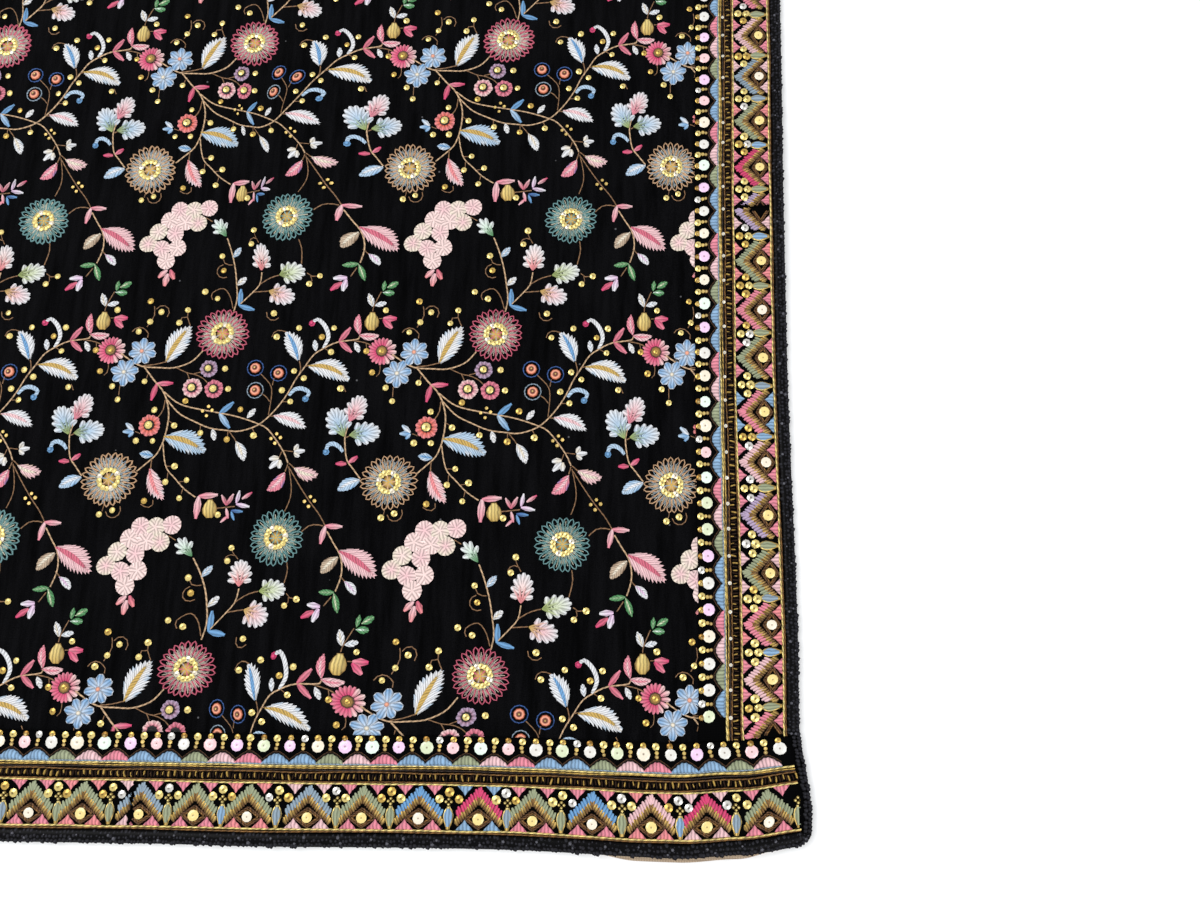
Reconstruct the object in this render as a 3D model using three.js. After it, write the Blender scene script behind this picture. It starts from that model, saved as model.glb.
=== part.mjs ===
// Embroidered velvet shawl, laid out flat with its face up.
// X runs across the shawl, Y along it, and Z up from the surface that it lies on.
// The origin is the middle of the underside. All sizes are in millimetres.
import * as THREE from 'three';

// Driving dimensions
const shawlWidth = 710;
const shawlLength = 2030;
const velvetThickness = 1.6;
const seamGap = 0.3;
const panelCell = 44; // spacing of the panel's inner grid lines

// The bought border is a ribbon with a beaded black edging on its outer side.
// It is a little narrower along the sides, where it was eased in while sewing.
const hemBorder = { edging: 5.6, width: 46.5 };
const sideBorder = { edging: 5.3, width: 44 };
const ribbonBase = 0.9;
const edgingHeight = 2.2;

// Raised lines of the ribbon, as shares of its width from the outer edge and heights over its underside
const ribbonRelief = [
  { line: 'outer edge', share: 0, height: 0.9 },
  { line: 'outer cord', share: 0.03, height: 1.8 },
  { line: 'chevron ridge', share: null, height: 1.9 },
  { line: 'middle cord', share: 0.5, height: 1.7 },
  { line: 'inner cord', share: 0.68, height: 1.7 },
  { line: 'inner edge', share: 1, height: 0.7 },
];
const chevronShare = { valley: 0.14, apex: 0.4 };
const chevronPitch = 24.6;
const nearestStation = 3; // a panel line nearer than this to a chevron's turn is left out of the ribbon

// Places where a chevron points inwards, measured along each border where they are uneven
const hemApexes = [
  -13, 8.6, 35.8, 62.9, 75.9, 100.3, 127, 144.2, 164.9, 189.7, 214.6, 240.1, 264.9, 287.8, 312, 336.1,
];
const rightApexes = [
  -944.7, -918.6, -893.1, -868.5, -845.1, -820, -795.9, -772.9, -749.4, -727, -704.5, -679.9, -655.3,
  -630.4,
];
const hemSplice = 65;
const rightSplice = -719.5;

// Beige backing tape that lies under the lifted hem and shows past it
const tape = { from: 262, to: 343, proud: 2.3, width: 14, thickness: 0.9, gap: 0.3 };

// How far the sewn edges are drawn in from a true rectangle: side, place along it, distance in
const drawnIn = {
  south: [
    { at: -355, by: 1.5 }, { at: -250, by: 3 }, { at: -120, by: 0 }, { at: 0, by: 1.5 },
    { at: 100, by: 2.5 }, { at: 225, by: 4 }, { at: 300, by: 3 }, { at: 325, by: 5 },
    { at: 355, by: 9 },
  ],
  north: [
    { at: -355, by: 4 }, { at: -230, by: 0 }, { at: -60, by: 3.5 }, { at: 120, by: 1 },
    { at: 240, by: 2.8 }, { at: 355, by: 0.5 },
  ],
  east: [
    { at: -1000, by: 0 }, { at: -965, by: 4 }, { at: -925, by: 3.5 }, { at: -800, by: 5 },
    { at: -725, by: 5 }, { at: -625, by: 4 }, { at: -500, by: 1.5 }, { at: -350, by: 3.5 },
    { at: -100, by: 1 }, { at: 200, by: 4 }, { at: 500, by: 1 }, { at: 800, by: 4.5 },
    { at: 1015, by: 1.5 },
  ],
  west: [
    { at: -1015, by: 2.5 }, { at: -820, by: 0 }, { at: -560, by: 4.4 }, { at: -250, by: 1.2 },
    { at: 60, by: 3.8 }, { at: 400, by: 0.9 }, { at: 700, by: 4.1 }, { at: 1015, by: 0 },
  ],
};
const drawnInReach = 120;

// Soft lifts of the edge, where the border ripples off the surface
const edgeLifts = [
  { side: 'south', at: 303, half: 70, reach: 75, height: 2.6 },
  { side: 'south', at: 120, half: 60, reach: 50, height: 0.9 },
  { side: 'south', at: -95, half: 105, reach: 90, height: 3.4 },
  { side: 'south', at: -265, half: 75, reach: 60, height: 1.9 },
  { side: 'north', at: 240, half: 80, reach: 70, height: 2.4 },
  { side: 'north', at: 30, half: 110, reach: 110, height: 3.6 },
  { side: 'north', at: -225, half: 90, reach: 75, height: 2.9 },
  { side: 'east', at: -715, half: 85, reach: 70, height: 1.4 },
  { side: 'east', at: -380, half: 120, reach: 95, height: 3.2 },
  { side: 'east', at: -60, half: 95, reach: 70, height: 2.2 },
  { side: 'east', at: 300, half: 130, reach: 100, height: 3.8 },
  { side: 'east', at: 690, half: 100, reach: 85, height: 2.7 },
  { side: 'west', at: -770, half: 110, reach: 85, height: 2.9 },
  { side: 'west', at: -420, half: 90, reach: 75, height: 2.1 },
  { side: 'west', at: -90, half: 125, reach: 105, height: 3.5 },
  { side: 'west', at: 330, half: 100, reach: 80, height: 2.5 },
  { side: 'west', at: 730, half: 120, reach: 95, height: 3.3 },
];

// Low slack waves across the panel: middle, direction in degrees, half length, half width, height
const slackWaves = [
  { x: -60, y: -300, turn: 18, long: 260, wide: 95, height: 2.6 },
  { x: 110, y: 40, turn: -26, long: 230, wide: 90, height: 2.1 },
  { x: -140, y: 330, turn: 12, long: 210, wide: 100, height: 2.8 },
  { x: 60, y: 610, turn: -14, long: 270, wide: 90, height: 2.3 },
  { x: -100, y: 860, turn: 30, long: 180, wide: 85, height: 1.9 },
];

const halfWidth = shawlWidth / 2;
const halfLength = shawlLength / 2;
const ribbonSeat = velvetThickness + seamGap; // height of the border's underside over the panel's

// Colours of the finishes
const finishes = {
  velvet: { color: 0x08080a, roughness: 1, metalness: 0 },
  ribbon: { color: 0x9c7d4a, roughness: 0.6, metalness: 0.1 },
  edging: { color: 0x0b0b0d, roughness: 0.45, metalness: 0 },
  tape: { color: 0x968973, roughness: 0.9, metalness: 0 },
};

function smooth(t) {
  const u = Math.min(1, Math.max(0, t));
  return u * u * (3 - 2 * u);
}

function bump(distance, half) {
  return smooth(1 - Math.abs(distance) / half);
}

// The value of a table of places at one place, eased between its rows
function alongTable(rows, place) {
  const next = rows.findIndex((row) => row.at >= place);
  if (next < 0) return rows[rows.length - 1].by;
  if (next === 0) return rows[0].by;
  const a = rows[next - 1];
  const b = rows[next];
  return THREE.MathUtils.lerp(a.by, b.by, smooth((place - a.at) / (b.at - a.at)));
}

// Distance from a point of the true rectangle to one of its sides, and the point's place along that side
function fromSide(side, x, y) {
  const places = {
    south: { depth: y + halfLength, along: x },
    north: { depth: halfLength - y, along: x },
    east: { depth: halfWidth - x, along: y },
    west: { depth: x + halfWidth, along: y },
  };
  return places[side];
}

function liftAt(x, y) {
  let lift = 0;
  for (const wave of edgeLifts) {
    const { depth, along } = fromSide(wave.side, x, y);
    lift += wave.height * bump(along - wave.at, wave.half) * smooth(1 - depth / wave.reach);
  }
  for (const wave of slackWaves) {
    const turn = THREE.MathUtils.degToRad(wave.turn);
    const u = (x - wave.x) * Math.cos(turn) + (y - wave.y) * Math.sin(turn);
    const v = (y - wave.y) * Math.cos(turn) - (x - wave.x) * Math.sin(turn);
    lift += wave.height * bump(u, wave.long) * bump(v, wave.wide);
  }
  return lift;
}

// A point of the true rectangle, moved to where the sewn cloth has it
function settle(x, y) {
  const fade = (side) => {
    const { depth, along } = fromSide(side, x, y);
    return alongTable(drawnIn[side], along) * smooth(1 - depth / drawnInReach);
  };
  const movedX = x + fade('west') - fade('east');
  const movedY = y + fade('south') - fade('north');
  return new THREE.Vector3(movedX, movedY, liftAt(x, y));
}

// Grid lines across the panel: the edge, the edging's seam, the ribbon's inner edge, then even cells
function panelLines(half, border) {
  const inner = half - border.width;
  const cells = Math.round((2 * inner) / panelCell);
  const seam = half - border.edging - seamGap / 2;
  const even = Array.from({ length: cells + 1 }, (_, i) => -inner + (2 * inner * i) / cells);
  return [-half, -seam, ...even, seam, half];
}

const linesX = panelLines(halfWidth, sideBorder);
const linesY = panelLines(halfLength, hemBorder);
const settled = linesY.map((y) => linesX.map((x) => settle(x, y)));

function cellOf(lines, value) {
  const next = lines.findIndex((line) => line > value);
  return Math.max(0, (next < 0 ? lines.length - 1 : next) - 1);
}

// A point that rides on the panel's underside facets, moved up by height
function onCloth(x, y, height) {
  const i = Math.min(cellOf(linesX, x), linesX.length - 2);
  const j = Math.min(cellOf(linesY, y), linesY.length - 2);
  const s = (x - linesX[i]) / (linesX[i + 1] - linesX[i]);
  const t = (y - linesY[j]) / (linesY[j + 1] - linesY[j]);
  const corner = settled[j][i];
  const across = s >= t ? settled[j][i + 1] : settled[j + 1][i + 1];
  const up = s >= t ? settled[j + 1][i + 1] : settled[j + 1][i];
  const point = corner.clone();
  if (s >= t) {
    point.addScaledVector(across.clone().sub(corner), s);
    point.addScaledVector(up.clone().sub(across), t);
  } else {
    point.addScaledVector(up.clone().sub(corner), t);
    point.addScaledVector(across.clone().sub(up), s);
  }
  point.z += height;
  return point;
}

// Collects triangles of one closed solid
class Solid {
  constructor() {
    this.positions = [];
  }

  triangle(a, b, c) {
    this.positions.push(...a.toArray(), ...b.toArray(), ...c.toArray());
  }

  // A grid of rows. Its quads are cut along the panel's own diagonal, which on a strip that is
  // turned by a right angle joins the other two corners.
  grid(rows, facesUp, turned) {
    for (let j = 0; j + 1 < rows.length; j++) {
      for (let i = 0; i + 1 < rows[j].length; i++) {
        const quad = [rows[j][i], rows[j][i + 1], rows[j + 1][i + 1], rows[j + 1][i]];
        const [a, b, c, d] = turned ? [quad[1], quad[2], quad[3], quad[0]] : quad;
        if (facesUp) {
          this.triangle(a, b, c);
          this.triangle(a, c, d);
        } else {
          this.triangle(a, c, b);
          this.triangle(a, d, c);
        }
      }
    }
  }

  // A wall between two lines of points that run the same way, whatever the number of points in each
  wall(lower, upper) {
    let i = 0;
    let j = 0;
    const share = (line, n) => line[n].distanceTo(line[0]) / line[line.length - 1].distanceTo(line[0]);
    while (i + 1 < lower.length || j + 1 < upper.length) {
      const lowerNext = i + 1 < lower.length ? share(lower, i + 1) : Infinity;
      const upperNext = j + 1 < upper.length ? share(upper, j + 1) : Infinity;
      if (lowerNext <= upperNext) {
        this.triangle(lower[i], lower[i + 1], upper[j]);
        i += 1;
      } else {
        this.triangle(lower[i], upper[j + 1], upper[j]);
        j += 1;
      }
    }
  }

  // Top and bottom grids of one outline, closed by four walls
  static slab(top, bottom, turned = false) {
    const solid = new Solid();
    const column = (rows, i) => rows.map((row) => row[i < 0 ? row.length - 1 : i]);
    const end = (rows) => rows[rows.length - 1];
    solid.grid(top, true, turned);
    solid.grid(bottom, false, turned);
    solid.wall(bottom[0], top[0]);
    solid.wall(column(bottom, -1), column(top, -1));
    solid.wall([...end(bottom)].reverse(), [...end(top)].reverse());
    solid.wall(column(bottom, 0).reverse(), column(top, 0).reverse());
    return solid;
  }

  mesh(name, finish) {
    const geometry = new THREE.BufferGeometry();
    geometry.setAttribute('position', new THREE.Float32BufferAttribute(this.positions, 3));
    geometry.computeVertexNormals();
    const mesh = new THREE.Mesh(geometry, new THREE.MeshStandardMaterial(finishes[finish]));
    mesh.name = name;
    return mesh;
  }
}

function velvetPanel() {
  const layer = (height) => linesY.map((y) => linesX.map((x) => onCloth(x, y, height)));
  return Solid.slab(layer(velvetThickness), layer(0)).mesh('velvet_panel', 'velvet');
}

function turnedRound(lines) {
  return lines.map((line) => -line).reverse();
}

// One side of the border as a strip: place() takes a distance along and a distance in from the outer edge.
// The north and west strips run the other way, so they meet the panel's lines at the negative places.
const strips = {
  south: {
    crossings: linesX,
    turned: false,
    border: hemBorder,
    place: (along, depth) => [along, -halfLength + depth],
  },
  north: {
    crossings: turnedRound(linesX),
    turned: false,
    border: hemBorder,
    place: (along, depth) => [-along, halfLength - depth],
  },
  east: {
    crossings: linesY,
    turned: true,
    border: sideBorder,
    place: (along, depth) => [halfWidth - depth, along],
  },
  west: {
    crossings: turnedRound(linesY),
    turned: true,
    border: sideBorder,
    place: (along, depth) => [-halfWidth + depth, -along],
  },
};

function stationsBetween(places, from, to) {
  const inside = places.filter((place) => place > from + seamGap && place < to - seamGap);
  return [from, ...inside, to].sort((a, b) => a - b);
}

// Apexes over the whole strip: the given ones, and even ones beyond them
function allApexes(given, from, to) {
  const apexes = given.length ? [...given] : [(from + to) / 2];
  const last = () => apexes[apexes.length - 1];
  while (apexes[0] - chevronPitch > from) apexes.unshift(apexes[0] - chevronPitch);
  while (last() + chevronPitch < to) apexes.push(last() + chevronPitch);
  return apexes;
}

// Stations of the zigzag ridge: each apex and the valley between two apexes
function zigzag(apexes) {
  const stations = [];
  apexes.forEach((apex, i) => {
    stations.push({ along: apex, share: chevronShare.apex });
    if (i + 1 < apexes.length) {
      stations.push({ along: (apex + apexes[i + 1]) / 2, share: chevronShare.valley });
    }
  });
  return stations;
}

function ridgeShare(stations, along) {
  const next = stations.findIndex((station) => station.along >= along);
  if (next <= 0) return stations[next < 0 ? stations.length - 1 : 0].share;
  const a = stations[next - 1];
  const b = stations[next];
  return THREE.MathUtils.lerp(a.share, b.share, (along - a.along) / (b.along - a.along));
}

function ribbon(name, side, from, to, apexes) {
  const strip = strips[side];
  const outer = strip.border.edging + seamGap;
  const inner = strip.border.width;
  const ridge = zigzag(allApexes(apexes, from, to));
  const bottomPlaces = stationsBetween(strip.crossings, from, to);
  const ridgePlaces = ridge.map((station) => station.along);
  const isClear = (line) => ridgePlaces.every((place) => Math.abs(place - line) > nearestStation);
  const topPlaces = stationsBetween([...ridgePlaces, ...strip.crossings.filter(isClear)], from, to);
  const depthOf = (relief) => (along) => {
    const share = relief.share ?? ridgeShare(ridge, along);
    return outer + share * (inner - outer);
  };
  const top = ribbonRelief.map((relief) => {
    const depth = depthOf(relief);
    const height = ribbonSeat + relief.height;
    return topPlaces.map((along) => onCloth(...strip.place(along, depth(along)), height));
  });
  const bottom = [outer, inner].map((depth) =>
    bottomPlaces.map((along) => onCloth(...strip.place(along, depth), ribbonSeat)),
  );
  return Solid.slab(top, bottom, strip.turned).mesh(name, 'ribbon');
}

// Half-round beaded edging between the sewn edge and the ribbon
function edging(name, side, from, to) {
  const strip = strips[side];
  const places = stationsBetween(strip.crossings, from, to);
  const section = [
    { share: 0, height: 0.5 },
    { share: 0.25, height: 0.85 * edgingHeight },
    { share: 0.6, height: edgingHeight },
    { share: 1, height: ribbonBase },
  ];
  const row = (share, height) =>
    places.map((along) => onCloth(...strip.place(along, share * strip.border.edging), ribbonSeat + height));
  const top = section.map(({ share, height }) => row(share, height));
  const bottom = [row(0, 0), row(1, 0)];
  return Solid.slab(top, bottom, strip.turned).mesh(name, 'edging');
}

// The tape is sewn flat under the lifted hem
function backingTape() {
  const places = stationsBetween(linesX, tape.from, tape.to);
  const middle = (tape.from + tape.to) / 2;
  const half = (tape.to - tape.from) / 2;
  const shape = (along, share) => {
    const ease = smooth(2 * (1 - Math.abs(along - middle) / half));
    const outer = onCloth(along, -halfLength, 0);
    const inner = onCloth(along, -halfLength + tape.width, 0);
    outer.y -= tape.proud * ease;
    return outer.lerp(inner, share);
  };
  const row = (share, height) =>
    places.map((along) => {
      const point = shape(along, share);
      point.z = height === 0 ? 0 : Math.max(0.4, Math.min(tape.thickness, point.z - tape.gap));
      return point;
    });
  return Solid.slab([row(0, 1), row(1, 1)], [row(0, 0), row(1, 0)]).mesh('backing_tape', 'tape');
}

function shawl() {
  const group = new THREE.Group();
  const sideEnd = halfLength - hemBorder.width - seamGap;
  const half = seamGap / 2;
  group.add(velvetPanel());
  group.add(ribbon('border_hem_left', 'south', -halfWidth, hemSplice - half, hemApexes));
  group.add(ribbon('border_hem_right', 'south', hemSplice + half, halfWidth, hemApexes));
  group.add(ribbon('border_side_near', 'east', -sideEnd, rightSplice - half, rightApexes));
  group.add(ribbon('border_side_far', 'east', rightSplice + half, sideEnd, rightApexes));
  group.add(ribbon('border_top', 'north', -halfWidth, halfWidth, []));
  group.add(ribbon('border_side_left', 'west', -sideEnd, sideEnd, []));
  group.add(edging('edging_hem', 'south', -halfWidth, halfWidth));
  group.add(edging('edging_side_right', 'east', -sideEnd, sideEnd));
  group.add(edging('edging_top', 'north', -halfWidth, halfWidth));
  group.add(edging('edging_side_left', 'west', -sideEnd, sideEnd));
  group.add(backingTape());
  return group;
}

export default shawl();
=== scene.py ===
import bpy
import math
import numpy as np
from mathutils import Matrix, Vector


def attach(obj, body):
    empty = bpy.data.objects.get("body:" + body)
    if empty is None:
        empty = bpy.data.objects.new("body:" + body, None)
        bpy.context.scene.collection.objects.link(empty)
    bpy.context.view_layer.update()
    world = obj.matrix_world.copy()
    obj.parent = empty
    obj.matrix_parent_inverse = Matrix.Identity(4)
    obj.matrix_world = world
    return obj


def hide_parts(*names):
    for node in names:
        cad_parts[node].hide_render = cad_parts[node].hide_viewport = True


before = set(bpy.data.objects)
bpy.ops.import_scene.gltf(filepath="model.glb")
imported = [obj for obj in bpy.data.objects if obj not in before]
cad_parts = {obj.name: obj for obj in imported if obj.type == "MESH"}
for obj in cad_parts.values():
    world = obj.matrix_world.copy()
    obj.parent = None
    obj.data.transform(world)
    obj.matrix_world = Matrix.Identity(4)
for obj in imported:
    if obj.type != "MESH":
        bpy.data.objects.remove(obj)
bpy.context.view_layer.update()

# Shapes are worked out in millimetres on the cloth spread flat, with heights over the velvet's face
# or the ribbon's underside. layDown() then moves them to where the sewn cloth has them, in metres.
metres = 0.001
dice = np.random.default_rng(41)

shawl = {
    "width": 710,
    "length": 2030,
    "thickness": 1.6,
    "seat": 1.9,  # the border's underside over the surface that the panel lies on
    "drawnInReach": 120,
    "cornerRadius": 7,
}
halfWidth = shawl["width"] / 2
halfLength = shawl["length"] / 2

hemBorder = {"edging": 5.6, "width": 46.5}
sideBorder = {"edging": 5.3, "width": 44}
seam = 0.3

# How far the sewn edges are drawn in from a true rectangle: place along the side, distance in
drawnIn = {
    "south": [(-355, 1.5), (-250, 3), (-120, 0), (0, 1.5), (100, 2.5), (225, 4), (300, 3), (325, 5),
              (355, 9)],
    "north": [(-355, 4), (-230, 0), (-60, 3.5), (120, 1), (240, 2.8), (355, 0.5)],
    "east": [(-1000, 0), (-965, 4), (-925, 3.5), (-800, 5), (-725, 5), (-625, 4), (-500, 1.5), (-350, 3.5),
             (-100, 1), (200, 4), (500, 1), (800, 4.5), (1015, 1.5)],
    "west": [(-1015, 2.5), (-820, 0), (-560, 4.4), (-250, 1.2), (60, 3.8), (400, 0.9), (700, 4.1),
             (1015, 0)],
}

# Soft lifts of the edge: side, place along it, half length, reach inwards, height
edgeLifts = [
    ("south", 303, 70, 75, 2.6), ("south", 120, 60, 50, 0.9), ("south", -95, 105, 90, 3.4),
    ("south", -265, 75, 60, 1.9), ("north", 240, 80, 70, 2.4), ("north", 30, 110, 110, 3.6),
    ("north", -225, 90, 75, 2.9), ("east", -715, 85, 70, 1.4), ("east", -380, 120, 95, 3.2),
    ("east", -60, 95, 70, 2.2), ("east", 300, 130, 100, 3.8), ("east", 690, 100, 85, 2.7),
    ("west", -770, 110, 85, 2.9), ("west", -420, 90, 75, 2.1), ("west", -90, 125, 105, 3.5),
    ("west", 330, 100, 80, 2.5), ("west", 730, 120, 95, 3.3),
]

# Low slack waves across the panel: x, y, direction in degrees, half length, half width, height
slackWaves = [
    (-60, -300, 18, 260, 95, 2.6), (110, 40, -26, 230, 90, 2.1), (-140, 330, 12, 210, 100, 2.8),
    (60, 610, -14, 270, 90, 2.3), (-100, 860, 30, 180, 85, 1.9),
]


def ease(t):
    u = np.clip(t, 0, 1)
    return u * u * (3 - 2 * u)


def bump(distance, half):
    return ease(1 - np.abs(distance) / half)


def alongTable(rows, place):
    at, by = np.array(rows, float).T
    row = np.clip(np.searchsorted(at, place) - 1, 0, len(at) - 2)
    return by[row] + (by[row + 1] - by[row]) * ease((place - at[row]) / (at[row + 1] - at[row]))


def fromSide(side, x, y):
    return {
        "south": (y + halfLength, x),
        "north": (halfLength - y, x),
        "east": (halfWidth - x, y),
        "west": (x + halfWidth, y),
    }[side]


def liftAt(x, y):
    lift = np.zeros_like(x)
    for side, at, half, reach, height in edgeLifts:
        depth, along = fromSide(side, x, y)
        lift += height * bump(along - at, half) * ease(1 - depth / reach)
    for atX, atY, turn, long, wide, height in slackWaves:
        c, s = math.cos(math.radians(turn)), math.sin(math.radians(turn))
        u = (x - atX) * c + (y - atY) * s
        v = (y - atY) * c - (x - atX) * s
        lift += height * bump(u, long) * bump(v, wide)
    return lift


# Flat points in millimetres to where the sewn cloth has them, in metres. The four corners are rounded.
def layDown(points):
    points = np.asarray(points, float)
    inner = np.array([halfWidth, halfLength]) - shawl["cornerRadius"]
    past = np.maximum(np.abs(points[:, :2]) - inner, 0)
    square, far = past.max(1), np.hypot(*past.T)
    rounder = np.where(past.min(1) > 0, square / np.maximum(far, 1e-9), 1)
    x, y = (np.sign(points[:, :2]) * (np.minimum(np.abs(points[:, :2]), inner) + past * rounder[:, None])).T
    shift = {}
    for side in drawnIn:
        depth, along = fromSide(side, x, y)
        shift[side] = alongTable(drawnIn[side], along) * ease(1 - depth / shawl["drawnInReach"])
    laid = np.empty_like(points)
    laid[:, 0] = x + shift["west"] - shift["east"]
    laid[:, 1] = y + shift["south"] - shift["north"]
    laid[:, 2] = points[:, 2] + liftAt(x, y)
    return laid * metres


# ---- thread, bead and cloth colours, as seen under white light

palette = {
    "white": (224, 226, 230), "cream": (226, 216, 196), "palePink": (232, 190, 194),
    "pink": (226, 134, 152), "hotPink": (212, 62, 112), "rose": (204, 100, 122),
    "salmon": (232, 138, 142), "peach": (230, 160, 132), "orange": (222, 96, 62),
    "rust": (184, 84, 48), "darkRust": (116, 48, 34), "paleBlue": (172, 198, 222),
    "skyBlue": (104, 156, 204), "deepBlue": (50, 88, 152), "iceBlue": (206, 220, 236),
    "softBlue": (134, 170, 204),
    "mint": (214, 232, 218), "leafGreen": (150, 166, 92), 
    "sage": (152, 160, 128), "green": (78, 142, 88), "palestGreen": (204, 214, 180),
    "seaGreen": (96, 142, 140), "paleTeal": (116, 158, 160), "gold": (196, 162, 84),
    "oldGold": (140, 104, 46),
    "paleGold": (226, 204, 128), "brown": (92, 62, 36), "darkBrown": (44, 28, 18), "mauve": (164, 118, 136),
    "lavender": (180, 160, 190), "greyBlue": (140, 160, 176), "beige": (186, 164, 140), 
    "stem": (202, 168, 130), "twig": (136, 100, 66), "black": (7, 7, 8), 
    "bronze": (120, 84, 40), "ivory": (214, 212, 206), "lilac": (224, 190, 222), "blush": (238, 210, 206),
    "taupe": (174, 160, 158), "oat": (208, 200, 180),
    # In the next row, bead is a grey painted as a highlight on the tops of black beads, and the paler grey
    # after it is painted on a few beads as glints of light
    "sand": (204, 166, 130), "jet": (26, 26, 30), "bead": (44, 44, 50), "paintedGlint": (96, 96, 104),
    "lint": (120, 120, 124),
}


def shade(name):
    s = np.array(palette[name] if isinstance(name, str) else name, float) / 255
    return np.where(s <= 0.04045, s / 12.92, ((s + 0.055) / 1.055) ** 2.4)


# ---- collecting stitches

# One kind of work: points, faces, and for each point its thread colour, how much of the three tints
# it takes, and its grain (distance that counts the stitches, distance along a stitch)
class Work:
    def __init__(self, name, fine=1.0):
        self.name = name
        self.fine = fine
        self.isFine = fine > 0.8
        self.points, self.colours, self.shares, self.grain, self.faces = [], [], [], [], []
        self.count = 0

    def add(self, points, faces, colours, grain=None, share=None):
        points = np.asarray(points, float).reshape(-1, 3)
        size = len(points)
        self.points.append(points)
        self.colours.append(np.broadcast_to(colours, (size, 3)))
        counted = np.zeros((size, 2)) if grain is None else np.asarray(grain, float).reshape(size, 2)
        self.grain.append(counted)
        given = np.zeros(3) if share is None else np.eye(3)[share]
        self.shares.append(np.broadcast_to(given, (size, 3)))
        self.faces.extend((np.asarray(face) + self.count).tolist() for face in faces)
        self.count += size

    # Rows of points that run ahead, each from right to left
    def grid(self, rows, colours, grain=None, share=None, closed=False):
        n, m = rows.shape[:2]
        index = np.arange(n * m).reshape(n, m)
        if closed:
            index = np.vstack([index, index[:1]])
        a, b, c, d = index[:-1, :-1], index[:-1, 1:], index[1:, 1:], index[1:, :-1]
        faces = np.stack([a, d, c, b], -1).reshape(-1, 4)
        colours = np.broadcast_to(colours, (n, m, 3)).reshape(-1, 3)
        self.add(rows, faces, colours, grain, share)

    # Rings of points from the rim inwards, closed by a middle point
    def dome(self, centre, radii, heights, sides, colours, share=None, lobes=None, turn=0.0, base=0.0):
        angle = np.arange(sides) * 2 * np.pi / sides + turn
        wave = np.ones(sides) if lobes is None else np.where(np.arange(sides) % 2, lobes, 1)
        points, tones = [], []
        for k, (radius, height) in enumerate(zip(radii, heights)):
            far = radius * (wave if k == 0 else np.ones(sides))
            high = np.full(sides, base + height)
            ring = [centre[0] + far * np.cos(angle), centre[1] + far * np.sin(angle), high]
            points.append(np.stack(ring, 1))
            tones.append(np.broadcast_to(colours[min(k, len(colours) - 1)], (sides, 3)))
        points.append([[centre[0], centre[1], base + heights[-1]]])
        tones.append([colours[-1]])
        faces = []
        for k in range(len(radii) - 1):
            for i in range(sides):
                j = (i + 1) % sides
                faces.append([k * sides + i, k * sides + j, (k + 1) * sides + j, (k + 1) * sides + i])
        last = (len(radii) - 1) * sides
        faces.extend([last + i, last + (i + 1) % sides, last + sides] for i in range(sides))
        points = np.concatenate(points)
        tones = np.concatenate(tones)
        grain = np.stack([np.hypot(points[:, 0] - centre[0], points[:, 1] - centre[1]), points[:, 2]], 1)
        self.add(points, faces, tones, grain, share)

    def made(self):
        return {
            "points": np.concatenate(self.points),
            "faces": self.faces,
            "colour": np.concatenate(self.colours),
            "shares": np.concatenate(self.shares),
            "grain": np.concatenate(self.grain),
        }


def newObject(name, mesh):
    thing = bpy.data.objects.new(name, mesh)
    bpy.context.scene.collection.objects.link(thing)
    return thing


def setAttribute(mesh, name, kind, values):
    width = {"FLOAT": 1, "FLOAT_VECTOR": 3, "FLOAT_COLOR": 4}[kind]
    values = np.asarray(values, float)
    if width == 4 and values.shape[1] == 3:
        values = np.hstack([values, np.ones((len(values), 1))])
    layer = mesh.attributes.new(name, kind, "POINT")
    field = {1: "value", 3: "vector", 4: "color"}[width]
    layer.data.foreach_set(field, values.astype(np.float32).ravel())


def readAttribute(mesh, name, width):
    values = np.zeros(len(mesh.vertices) * width, np.float32)
    if name in mesh.attributes:
        mesh.attributes[name].data.foreach_get({3: "vector", 4: "color"}[width], values)
    return values.reshape(-1, width)


# A mesh object of flat stitch work, still in millimetres
def workObject(work):
    made = work.made()
    mesh = bpy.data.meshes.new(work.name)
    mesh.from_pydata(made["points"].tolist(), [], made["faces"])
    setAttribute(mesh, "threadColour", "FLOAT_COLOR", made["colour"])
    setAttribute(mesh, "tintShares", "FLOAT_VECTOR", made["shares"])
    grain = np.hstack([made["grain"], np.zeros((len(made["grain"]), 1))])
    setAttribute(mesh, "grain", "FLOAT_VECTOR", grain)
    return newObject(work.name, mesh)


# Points, corners, face sizes and attributes of a mesh, as arrays
def arraysOf(mesh):
    points = np.zeros(len(mesh.vertices) * 3, np.float32)
    mesh.vertices.foreach_get("co", points)
    corners = np.zeros(len(mesh.loops), np.int32)
    mesh.loops.foreach_get("vertex_index", corners)
    starts = np.zeros(len(mesh.polygons), np.int32)
    mesh.polygons.foreach_get("loop_start", starts)
    return {
        "points": points.reshape(-1, 3).astype(float),
        "corners": corners,
        "sizes": np.diff(np.append(starts, len(corners))),
        "colour": readAttribute(mesh, "threadColour", 4),
        "grain": readAttribute(mesh, "grain", 3),
    }


# Keeps the faces whose points all pass, and the points that they use
def keepFaces(arrays, passes):
    owner = np.repeat(np.arange(len(arrays["sizes"])), arrays["sizes"])
    good = np.ones(len(arrays["sizes"]), bool)
    np.logical_and.at(good, owner, passes[arrays["corners"]])
    corners = arrays["corners"][good[owner]]
    used, renumbered = np.unique(corners, return_inverse=True)
    kept = {key: arrays[key][used] for key in ("points", "colour", "grain")}
    return {**kept, "corners": renumbered, "sizes": arrays["sizes"][good]}


def joined(parts):
    offsets = np.cumsum([0] + [len(part["points"]) for part in parts[:-1]])
    keys = ("points", "colour", "grain", "sizes")
    whole = {key: np.concatenate([part[key] for part in parts]) for key in keys}
    whole["corners"] = np.concatenate([part["corners"] + start for part, start in zip(parts, offsets)])
    return whole


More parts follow.
